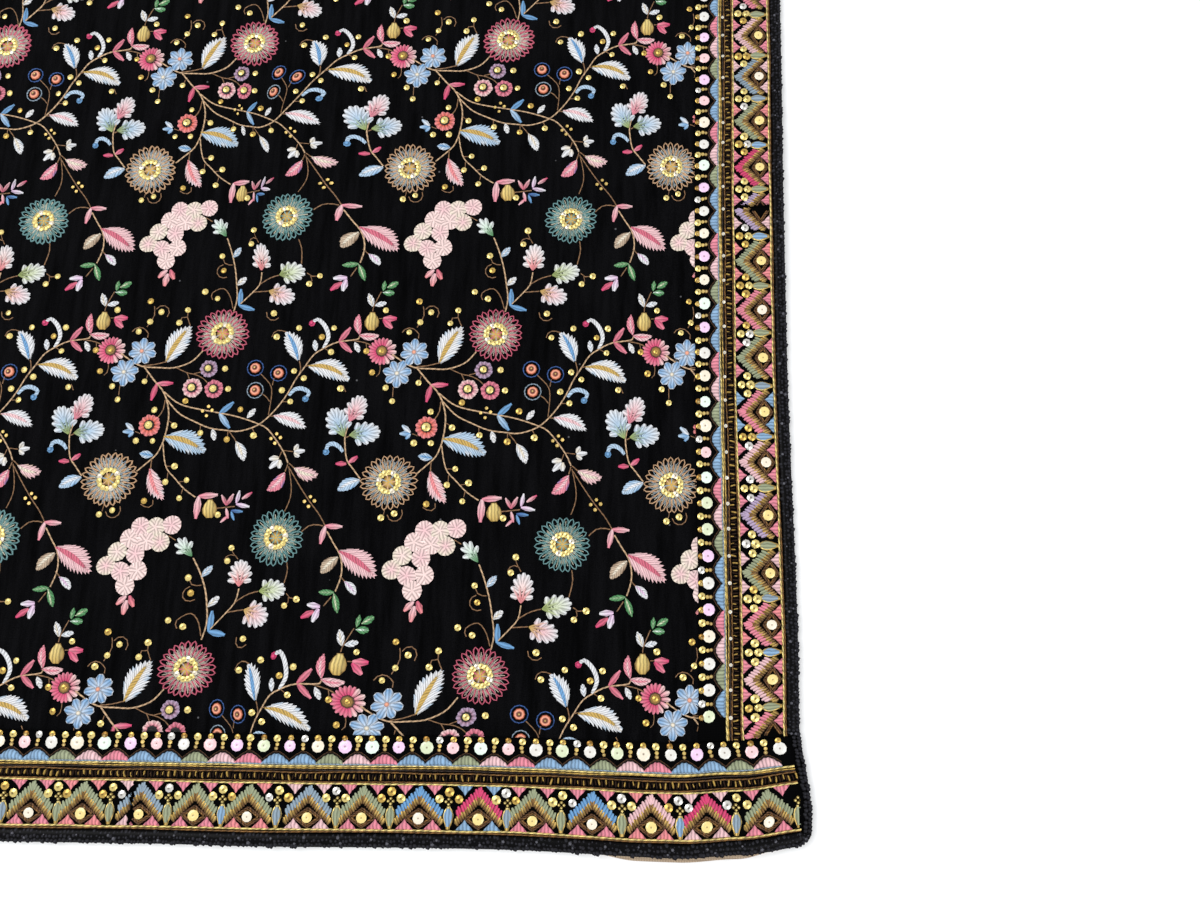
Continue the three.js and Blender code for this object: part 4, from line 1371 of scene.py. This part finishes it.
# Ribbon lengths: strip, from, to, where the chevrons count from, solid that each stands for
lengths = {
    "hem_ribbon_left": ("hem", -halfWidth, 64.85, -5, "border_hem_left"),
    "hem_ribbon_right": ("hem", 65.15, halfWidth, -5, "border_hem_right"),
    "side_ribbon_near": ("right", -sideEnd, -719.65, -942, "border_side_near"),
    "side_ribbon_far": ("right", -719.35, sideEnd, -942, "border_side_far"),
    "top_ribbon": ("top", -halfWidth, halfWidth, 0, "border_top"),
    "left_ribbon": ("left", -sideEnd, sideEnd, 0, "border_side_left"),
}

# Bands of the ribbon, in distances from the outer edge
bands = {"chevronFoot": 7.4, "chevronTop": 25.2, "bugles": 28.7, "whiteKnots": 31.4, "scallopFoot": 33.8,
         "beadPair": (40.6, 42.3), "bigSequins": 41.6, "smallSequins": 44.8}

ribbon = {"pitch": 24.4, "stray": 0.8, "base": 0.8, "rim": 1.2, "cell": 9, "bigPitch": 11.85, "bigFirst": 144,
          "bigMargin": 4}


# Places of a strip, given along and in, to the flat places of the shawl
def onStrip(strip, along, inwards):
    c, s = math.cos(math.radians(strips[strip]["turn"])), math.sin(math.radians(strips[strip]["turn"]))
    x, y = strips[strip]["origin"]
    along, inwards = np.asarray(along, float), np.asarray(inwards, float)
    return np.stack([x + along * c - inwards * s, y + along * s + inwards * c], -1)


def acrossScale(strip):
    return strips[strip]["border"]["width"] / hemBorder["width"]


# Where the work on each strip starts and stops
runs = {
    "hem": (-halfWidth + 4.5, halfWidth - 4.5), "right": (-sideEnd, sideEnd),
    "top": (-halfWidth + 4.5, halfWidth - 4.5), "left": (-sideEnd, sideEnd),
}


def makeRibbonBases():
    for name, (strip, start, end, first, node) in lengths.items():
        border = strips[strip]["border"]
        alongs = np.linspace(start, end, max(2, int((end - start) / ribbon["cell"])))
        width = border["width"]
        inner = np.array([width, width - ribbon["rim"], width * 0.6, width * 0.3, border["edging"] + seam])
        flat = onStrip(strip, *np.meshgrid(alongs, inner, indexing="ij"))
        tops = np.array([0.5, 0.8, 0.8, 0.8, 0.8])
        arrays = shellArrays(flat, tops, 0)
        piece = laidPiece(name, arrays, shawl["seat"], finishes["ribbon"])
        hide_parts(node)


makeRibbonBases()


# The chevrons' numbers and places along a length, a little uneven as hand work is
def allApexes(first, start, end):
    pitch = ribbon["pitch"]
    numbers = range(math.ceil((start - 12 - first) / pitch), math.floor((end + 12 - first) / pitch) + 2)
    return list(numbers), [first + pitch * k + ribbon["stray"] * math.sin(2.3 * k) for k in numbers]


# One chevron: two legs of long leaning stitches over bands of gold thread, the diamond under it, the
# triangles beside it and the teardrop to its right. In the satin, tint one is for the legs, two for
# the teardrop and three for the triangles.
chevron = {"stitch": 4.3, "lean": 66, "legLength": 13.2, "stitches": 10, "gilt": 3.1, "giltLength": 16.4,
           "diamond": (5.9, 4.0, 11.9), "half": 12.3}


def chevronUnits(fine):
    satin, gilt = Work("chevron", fine), Work("chevronGold", fine)
    top, foot = bands["chevronTop"], bands["chevronFoot"]
    slope = math.sqrt(0.5)
    for side in (-1, 1):
        down = np.array([side * slope, -slope])
        inwards = np.array([-side * slope, -slope])
        lean = math.radians(chevron["lean"])
        for i in range(chevron["stitches"]):
            run = 0.4 + chevron["legLength"] * i / (chevron["stitches"] - 1)
            start = np.array([0, top]) + down * run - inwards * (0.25 + 0.3 * math.sin(2.7 * i + side))
            end = start + np.array([-side * math.cos(lean), -math.sin(lean)]) * chevron["stitch"] * (
                1 + 0.08 * math.sin(4.3 * i + side))
            end[0] = max(end[0] * side, 0.1 * i) * side
            addPetal(satin, start, end, 2.15, "white", "white", 0.8, full=1.0, count=4, share=0)
        bars = 12 if gilt.isFine else 8
        for i in range(bars):
            run = 3.2 + (chevron["giltLength"] - 3.2) * i / (bars - 1)
            start = np.array([0, top]) + down * run + inwards * (2.2 + 0.25 * math.sin(3.1 * i))
            end = start + np.array([-side * math.cos(lean), -math.sin(lean)]) * chevron["gilt"]
            end[0] = max(end[0] * side, 0) * side
            tone = ("oldGold", "gold", "gold")[i % 3]
            addPetal(gilt, start, end, 24 / bars, tone, "brown", 0.6, full=1.0, count=3, lift=0.3)
        addTriangle(satin, side * 5.9, foot - 0.1, 3.6, 4.0, 2)
        addTriangle(satin, side * 6.2, top + 0.5, 3.3, -4.0, 2)
    halfAcross, halfHigh, middle = chevron["diamond"]
    ends = ((halfAcross, 0), (0, halfHigh), (-halfAcross, 0), (0, -halfHigh))
    corners = [np.array([a, middle + b]) for a, b in ends]
    for i in range(4):
        for k, tone in ((1.0, "brown"), (0.78, "bronze"))[:2 if gilt.isFine else 1]:
            a = np.array([0, middle]) * (1 - k) + corners[i] * k
            b = np.array([0, middle]) * (1 - k) + corners[(i + 1) % 4] * k
            addThread(gilt, [b, (a + b) / 2, a], 0.85, 0.55, tone, lift=0.1)
    tip = np.array([chevron["half"], foot + 0.2])
    addPetal(gilt, tip, tip + [0, 9.3], 5.3, "gold", "paleGold", 0.7, full=1.25, count=8)
    addPetal(satin, tip + [0, 1.2], tip + [0, 8.5], 3.6, "white", "white", 0.55, full=1.25, count=7, share=1,
             lift=0.45)
    for dx, dy in ((0, 1.1), (0, -1.1), (1.1, 0), (-1.1, 0)):
        gilt.dome(tip + [dx, 11.3 + dy], [0.8, 0.5], [0, 0.8], 5, [shade("gold"), shade("paleGold")])
    return workObject(satin), workObject(gilt)


# A triangle of parallel stitches standing on a cord, or hanging from it if its height is negative
def addTriangle(work, along, foot, half, height, share):
    steps = 7 if work.isFine else 5
    rows, grain = np.zeros((steps, 3, 3)), np.zeros((steps, 3, 2))
    for i, t in enumerate(np.linspace(-1, 1, steps)):
        reach = height * (1 - abs(t)) * (1.06 if i % 2 else 0.92) + math.copysign(0.25, height)
        for j, w in enumerate((0, 0.5, 1)):
            rows[i, j] = (along + half * t, foot + reach * w, (0.1, 0.95, -0.1)[j])
            grain[i, j] = (half * t, reach * w)
    if height < 0:
        rows, grain = rows[:, ::-1], grain[:, ::-1]
    work.grid(rows, shade("white"), grain, share)


# One scallop of upright stitches along the inner cord, with a line of thread at its foot and brown
# arcs beside it
def scallopUnit(fine):
    work = Work("scallop", fine)
    steps = 13 if work.isFine else 9
    half, foot = ribbon["bigPitch"] / 2, bands["scallopFoot"]
    rows, grain = np.zeros((steps, 4, 3)), np.zeros((steps, 4, 2))
    for i, t in enumerate(np.linspace(-1, 1, steps)):
        reach = 1.0 + 3.6 * (0.5 + 0.5 * math.cos(math.pi * t)) ** 0.55 + (0.2 if i % 2 else -0.15)
        for j, w in enumerate((0, 0.35, 0.75, 1)):
            rows[i, j] = (half * t, foot + reach * w, (0.2, 1, 0.85, -0.1)[j])
            grain[i, j] = (half * t, reach * w)
    work.grid(rows, shade("white"), grain, 0)
    for off, tone in ((1.5, "darkBrown"), (2.0, "brown"))[:2 if work.isFine else 1]:
        arc = [(half * t, foot + off + 3.6 * (0.5 + 0.5 * math.cos(math.pi * t)) ** 0.55)
               for t in np.linspace(1, -1, steps // 2)]
        addThread(work, arc, 0.28, 0.35, tone, lift=0.02)
    line = [(half, foot + 0.2), (0, foot + 0.3), (-half, foot + 0.2)]
    addThread(work, line, 0.6, 0.5, "greyBlue", lift=0.75)
    return workObject(work)


# A short upright bead of the bugle row; its two top points take the second tone, a lighter colour painted as
# a highlight along its ridge
def bugleUnit(name, long, wide, high, tone, ridgeHighlight):
    work = Work(name)
    end, shoulder, side = long / 2, long * 0.3, wide / 2
    rim = [(-end, 0), (-shoulder, -side), (shoulder, -side), (end, 0), (shoulder, side), (-shoulder, side)]
    points = [(x, y, -0.1) for x, y in rim] + [(-long * 0.24, 0, high), (long * 0.24, 0, high)]
    faces = [[1, 2, 7, 6], [4, 5, 6, 7], [0, 1, 6], [2, 3, 7], [3, 4, 7], [5, 0, 6]]
    work.add(points, faces, [shade(tone)] * 6 + [shade(ridgeHighlight)] * 2)
    return workObject(work)


def rowAlong(strip, start, end, inwards, pitch, unit, finish, turn=0.0, size=1.0, height=0.0, stray=0.15,
             turnChance=0.1, sizeChance=0.12, seed=3):
    count = int((end - start) / pitch) + 1
    origin = onStrip(strip, start, inwards * acrossScale(strip))
    step = onStrip(strip, start + (end - start) / (count - 1), inwards * acrossScale(strip)) - origin
    base = math.radians(strips[strip]["turn"]) + turn
    host = newObject("row", bpy.data.meshes.new("row"))
    return runTree(host, rowTree, {
        "Unit": unit, "Finish": finish, "Turn by chance": turnChance, "Size by chance": sizeChance,
        "Seed": seed, "Count": count, "Start": (*origin, height), "Step": (*step, 0.0),
        "Turn": (0.0, 0.0, base),
        "Size": (size, size, size), "Stray": stray})


# Lines of couched thread along the strips: distance in, width, height over the ribbon, tone, waver
cordRows = [
    (6.2, 0.7, 0.2, "bronze", 0.2), (7.0, 0.8, 0.3, "paleGold", 0.25), (25.9, 0.75, 0.3, "paleGold", 0.22),
    (26.6, 0.6, 0.15, "bronze", 0.2), (30.6, 0.7, 0.15, "bronze", 0.3), (31.6, 0.7, 0.1, "darkBrown", 0.25),
    (32.5, 0.6, 0.2, "gold", 0.35), (33.4, 0.85, 0.35, "paleGold", 0.25),
]


def layCords():
    points, edges, widths, tones = [], [], [], []
    for strip, (start, end) in runs.items():
        spots = np.linspace(start, end, int((end - start) / 17))
        for inwards, width, height, tone, waver in cordRows:
            at = inwards * acrossScale(strip) + dice.uniform(-waver, waver, len(spots))
            first = len(points)
            flat = onStrip(strip, spots, at)
            points.extend((x, y, height) for x, y in flat)
            edges.extend((first + i, first + i + 1) for i in range(len(spots) - 1))
            widths.extend([width] * len(spots))
            tones.extend([shade(tone)] * len(spots))
    arrays = sweepThreads(points, edges, widths, tones, finishes["giltCord"], 5.0)
    laidPiece("border_cords", arrays, shawl["seat"] + ribbon["base"], finishes["giltCord"])


# Sequins in the valley between two chevrons: place along from its middle, distance in.
# The sides have one more.
valleySequins = [(0, 22.9), (-4.2, 20), (4.2, 20)]
sideSequin = (0, 18.4)

# Colours in order along the strips, from where the chevrons count
tints = {
    "hemLegs": ["greyBlue", "sage", "sage", "greyBlue", "sage", "sage", "greyBlue", "sage", "skyBlue",
                "hotPink", "sage", "skyBlue", "palePink", "hotPink", "sage"],
    "rightLegs": ["palePink", "pink", "sage", "lavender", "palePink", "pink", "sage", "pink", "sage",
                  "lavender",
                  "hotPink", "sage", "greyBlue", "palePink"],
    "legs": ["pink", "sage", "palePink", "lavender", "sage", "pink", "sage", "greyBlue"],
    "drops": ["sage", "softBlue", "greyBlue", "sage"],
    "triangles": ["pink", "pink", "palePink", "pink", "softBlue", "pink", "salmon"],
    "scallops": ["softBlue", "pink", "palePink", "sage"],
    "bigSequins": ["ivory", "lilac", "palestGreen", "palePink", "ivory", "mint", "lilac", "cream", "palePink",
                   "mint"],
}


# Places of the large sequins along a strip
def bigPlaces(start, end):
    spots = ribbon["bigFirst"] + ribbon["bigPitch"] * np.arange(-100, 100)
    return spots[(spots > start + ribbon["bigMargin"]) & (spots < end - ribbon["bigMargin"])]


# Copies of the fine unit where the near corner is, and of the plain one elsewhere
def bothGrades(units, places, finish, turn, sizes, tones):
    close = np.array([isClose(place, 50, -140) for place in places])
    parts = []
    for unit, mask in zip(units, (close, ~close)):
        pick = np.flatnonzero(mask)
        if len(pick):
            parts.append(scatter(unit, [places[i] for i in pick], finish, np.full(len(pick), turn),
                                 [sizes[i] for i in pick], [[tone[i] for i in pick] for tone in tones]))
    return joined(parts)


# The chevrons, their pearls and the sequins in their valleys, on one ribbon length
def addChevrons(work, name, satins, gilts):
    strip, start, end, first, node = lengths[name]
    start, end = max(start, runs[strip][0]), min(end, runs[strip][1])
    scale = acrossScale(strip)
    turn = math.radians(strips[strip]["turn"])
    numbers, apexes = allApexes(first, start, end)
    order = tints[{"hem": "hemLegs", "right": "rightLegs"}.get(strip, "legs")]
    places, sizes, one, two, three = [], [], [], [], []
    for i, apex in enumerate(apexes[:-1]):
        number = numbers[i]
        gap = (apexes[i + 1] - apexes[max(i - 1, 0)]) / (2 if i else 1)
        places.append((*onStrip(strip, apex, 0), 0))
        sizes.append((np.clip(gap / ribbon["pitch"], 0.72, 1.1), scale, 1))
        one.append(order[number] if 0 <= number < len(order) else tints["legs"][(i * 5 + len(name)) % 8])
        two.append(tints["drops"][i % 4])
        three.append(tints["triangles"][(i * 3) % 7])
    for units, finish, kind in ((satins, "satin", "satin"), (gilts, "giltStitch", "gold")):
        made = bothGrades(units, places, finishes[finish], turn, sizes, (one, two, three))
        work[kind].append(withinStrip(made, strip, start, end))
    trio = valleySequins + ([sideSequin] if strip in ("right", "left") else [])
    for i, apex in enumerate(apexes):
        if start + 3 < apex < end - 3:
            x, y = onStrip(strip, apex, 12 * scale)
            work["pearls"].append((x, y, 0.7, 4.7, "paleGold" if (i + len(name)) % 3 else "cream"))
        if i + 1 < len(apexes) and start + 6 < (apex + apexes[i + 1]) / 2 < end - 6:
            valley = (apex + apexes[i + 1]) / 2
            for dx, inwards in trio:
                x, y = onStrip(strip, valley + dx, inwards * scale)
                tone = ("paleGold", "gold", "paleGold", "ivory")[int(dice.integers(0, 4))]
                work["gilt"].append((x, y, 0.2, 3.8, tone))


# The scallops, bugles, large sequins and knots along one strip
def addBands(work, strip, scallops, bugle, goldBugle):
    start, end = runs[strip]
    scale = acrossScale(strip)
    turn = math.radians(strips[strip]["turn"])
    bigs = bigPlaces(start, end)
    between = (bigs[:-1] + bigs[1:]) / 2
    pitch = np.diff(bigs)
    spots = [(*onStrip(strip, b, 0), 0) for b in between]
    colours = [tints["scallops"][(i * 3 + i // 5) % 4] for i in range(len(between))]
    sizes = [(p / ribbon["bigPitch"], scale, 1) for p in pitch]
    work["satin"].append(bothGrades(scallops, spots, finishes["satin"], turn, sizes, (colours,)))
    work["dark"].append(rowAlong(strip, start, end, bands["bugles"], 1.45, bugle, finishes["blackBead"],
                                 math.pi / 2, turnChance=0.25, seed=15))
    work["dark"].append(rowAlong(strip, start, end, bands["bugles"] + 0.2, 2.9, goldBugle,
                                 finishes["giltCord"], math.pi / 2, height=0.12, stray=0.55, turnChance=0.3,
                                 sizeChance=0.35, seed=16))
    for k, b in enumerate(bigs):
        x, y = onStrip(strip, b + dice.uniform(-0.4, 0.4), bands["bigSequins"] * scale)
        work["pearls"].append((x, y, 0.25, 5.6, tints["bigSequins"][int(dice.integers(0, 10))]))
        x, y = onStrip(strip, b, (bands["smallSequins"] + 0.3) * scale)
        work["knots"].append((x, y - 0.4, 0.1, 1.7, "bronze"))
        work["gilt"].append((x, y, 0.3, 2.7, "gold" if k % 3 else "oldGold"))
    for k, b in enumerate(between[pitch > 10]):
        x, y = onStrip(strip, b + dice.uniform(-0.3, 0.3), bands["smallSequins"] * scale)
        work["gilt"].append((x, y, 0.25, 3.2, "paleGold" if k % 5 else "ivory"))
        for inwards, tone in zip(bands["beadPair"], ("bronze", "gold")):
            x, y = onStrip(strip, b + dice.uniform(-0.3, 0.3), inwards * scale)
            work["knots"].append((x, y, 0.0, 1.8, tone))
    if strip in ("right", "left"):
        for b in bigs:
            x, y = onStrip(strip, b + dice.uniform(-0.8, 0.8), bands["whiteKnots"] * scale)
            work["knots"].append((x, y, 0.2, 1.7, "white"))


def layBorder():
    satins, gilts = zip(chevronUnits(1.0), chevronUnits(0.5))
    scallops = (scallopUnit(1.0), scallopUnit(0.5))
    bugle = bugleUnit("bugle", 3.2, 0.95, 0.8, "black", "darkBrown")
    goldBugle = bugleUnit("goldBugle", 2.7, 0.8, 1.0, "darkBrown", "gold")
    work = {kind: [] for kind in ("satin", "gold", "dark", "gilt", "pearls", "knots")}
    for name in lengths:
        addChevrons(work, name, satins, gilts)
    for strip in runs:
        addBands(work, strip, scallops, bugle, goldBugle)
    seat = shawl["seat"] + ribbon["base"]
    for name, kind, finish, slot in (("border_satin", "satin", "satin", "embroidery_thread"),
                                     ("border_gold_stitches", "gold", "giltStitch", "gilt_thread"),
                                     ("border_bugles", "dark", "blackBead", "gilt_thread")):
        laidPiece(name, joined(work[kind]), seat, finishes[finish])
    for name, kind, unit, finish, slot in (
            ("border_sequins", "gilt", sequinUnit, "giltSequin", "gilt_sequins"),
            ("border_pearls", "pearls", bigSequinUnit, "pearlSequin", "pearl_sequins"),
            ("border_knots", "knots", beadUnit, "giltCord", "gilt_sequins")):
        laidPiece(name, scatterCups(unit, work[kind], finishes[finish]), seat, finishes[finish])
    for unit in (*satins, *gilts, *scallops, bugle, goldBugle):
        bpy.data.objects.remove(unit)


# Keeps what lies between the ends of a ribbon length
def withinStrip(arrays, strip, start, end):
    turn = math.radians(strips[strip]["turn"])
    x, y = strips[strip]["origin"]
    along = (arrays["points"][:, 0] - x) * math.cos(turn) + (arrays["points"][:, 1] - y) * math.sin(turn)
    return keepFaces(arrays, (along > start) & (along < end))


layCords()
layBorder()
print("border laid")


# ---- beaded black edging round the shawl

edging = {
    "edging_hem": ("hem", -halfWidth, halfWidth), "edging_side_right": ("right", -sideEnd, sideEnd),
    "edging_top": ("top", -halfWidth, halfWidth), "edging_side_left": ("left", -sideEnd, sideEnd),
}


# A small black bead: a low five-sided dome whose raised middle point takes the second colour, a lighter tone
# painted as a highlight on its top
def blackBeadUnit(name, outer, inner):
    work = Work(name)
    work.dome((0, 0), [0.5], [0.0], 5, [shade(outer), shade(inner)])
    work.points[-1][-1, 2] = 0.4
    return workObject(work)


# Rows of small black beads, each with a grey painted highlight on its top and a few painted paler as glints
# of light, over a rounded black body
def layEdging():
    bead = blackBeadUnit("blackBead", "black", "bead")
    brightBead = blackBeadUnit("brightBead", "jet", "paintedGlint")
    for node, (strip, start, end) in edging.items():
        wide = strips[strip]["border"]["edging"]
        alongs = np.linspace(start, end, max(2, int((end - start) / 6)))
        shares = np.array([1, 0.75, 0.35, 0])
        flat = onStrip(strip, *np.meshgrid(alongs, wide * shares, indexing="ij"))
        body = shellArrays(flat, np.array([0.9, 1.5, 1.5, 0.4]), 0)
        body["colour"][:] = (*shade("black"), 1)
        parts = [body]
        for inwards, pitch, unit, seed in ((0.9, 1.75, bead, 21), (2.7, 1.7, bead, 22), (4.4, 1.8, bead, 23),
                                           (1.8, 19.3, brightBead, 24), (3.6, 14.1, brightBead, 25)):
            height = 1.1 if inwards < 4 else 0.85
            parts.append(rowAlong(strip, start + 1, end - 1, inwards, pitch, unit, finishes["blackBead"], 0,
                                  2.15, height=height, stray=0.4, sizeChance=0.25, seed=seed))
        if node == "edging_hem":
            for inwards, seed in ((352.6, 26), (354.3, 27)):
                along = (halfWidth - inwards) / acrossScale("right")
                parts.append(rowAlong("right", -halfLength + 6, -sideEnd - 1, along, 1.7, bead,
                                      finishes["blackBead"], 0, 2.2, height=1.2, stray=0.35, seed=seed))
        piece = laidPiece(node.replace("edging", "beaded_edge"), joined(parts), shawl["seat"],
                          finishes["blackBead"])
        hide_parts(node)
    bpy.data.objects.remove(bead)
    bpy.data.objects.remove(brightBead)


layEdging()


# ---- beige tape under the lifted hem

tape = {"from": 262, "to": 343, "proud": 2.3, "width": 14, "thickness": 0.9, "gap": 0.3}


def layTape():
    alongs = np.linspace(tape["from"], tape["to"], 40)
    middle, half = (tape["from"] + tape["to"]) / 2, (tape["to"] - tape["from"]) / 2
    proud = tape["proud"] * ease(2 * (1 - np.abs(alongs - middle) / half))
    shares = np.array([1, 0.6, 0.25, 0])
    outer = onStrip("hem", alongs, 0)
    inner = onStrip("hem", alongs, tape["width"])
    flat = outer[:, None] * (1 - shares)[None, :, None] + inner[:, None] * shares[None, :, None]
    flat[..., 1] -= proud[:, None] * (1 - shares)
    arrays = shellArrays(flat, 1.0, 0)
    laid = layDown(arrays["points"])
    top = arrays["points"][:, 2] > 0.5
    laid[:, 2] = np.where(top, np.clip(laid[:, 2] - (1.0 + tape["gap"]) * metres, 0.4 * metres,
                                       tape["thickness"] * metres), 0)
    piece = finishedPiece("beige_tape", {**arrays, "points": laid}, finishes["tape"])
    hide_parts("backing_tape")


layTape()
for unit in (sequinUnit, farSequinUnit, bigSequinUnit, beadUnit):
    bpy.data.objects.remove(unit)
print("edging and tape laid")


# ---- floor, light and camera

studio = {
    "camera": (0.28298, -0.92482, 0.40488),
    "turn": (12.0674, 2.4861, 1.0363),
    "lens": 27,
    "floor": 3.2,
    "floorLevel": -0.0002,
    "aim": (0.15, -0.7, 0),
    "worldLight": 0.85,
    "lamps": [((-1.2, -0.2, 2.2), 1.8, 34), ((1.6, -1.9, 2.0), 1.6, 22)],
}


def makeStudio():
    size = studio["floor"]
    mesh = bpy.data.meshes.new("floor")
    corners = [(x * size, y * size, studio["floorLevel"]) for x, y in ((-1, -1), (1, -1), (1, 1), (-1, 1))]
    mesh.from_pydata(corners, [], [(0, 1, 2, 3)])
    finish = newFinish("paleFloor", {"Base Color": (0.86, 0.87, 0.88, 1), "Roughness": 0.9})[0]
    mesh.materials.append(finish)
    newObject("floor", mesh)
    world = bpy.data.worlds.new("softWhite")
    world.use_nodes = True
    world.node_tree.nodes["Background"].inputs["Color"].default_value = (1, 1, 1, 1)
    world.node_tree.nodes["Background"].inputs["Strength"].default_value = studio["worldLight"]
    bpy.context.scene.world = world
    for place, wide, power in studio["lamps"]:
        lamp = bpy.data.lights.new("softbox", "AREA")
        lamp.shape = "SQUARE"
        lamp.size = wide
        lamp.energy = power
        holder = newObject("softbox", lamp)
        holder.location = place
        aim = np.array(studio["aim"]) - np.array(place)
        holder.rotation_euler = Vector(aim).to_track_quat("-Z", "Y").to_euler()
    camera = bpy.data.cameras.new("camera")
    camera.lens = studio["lens"]
    camera.sensor_width = 36
    camera.clip_start = 0.01
    viewer = newObject("camera", camera)
    viewer.location = studio["camera"]
    viewer.rotation_euler = [math.radians(angle) for angle in studio["turn"]]
    bpy.context.scene.camera = viewer
    bpy.context.scene.view_settings.view_transform = "Standard"


makeStudio()
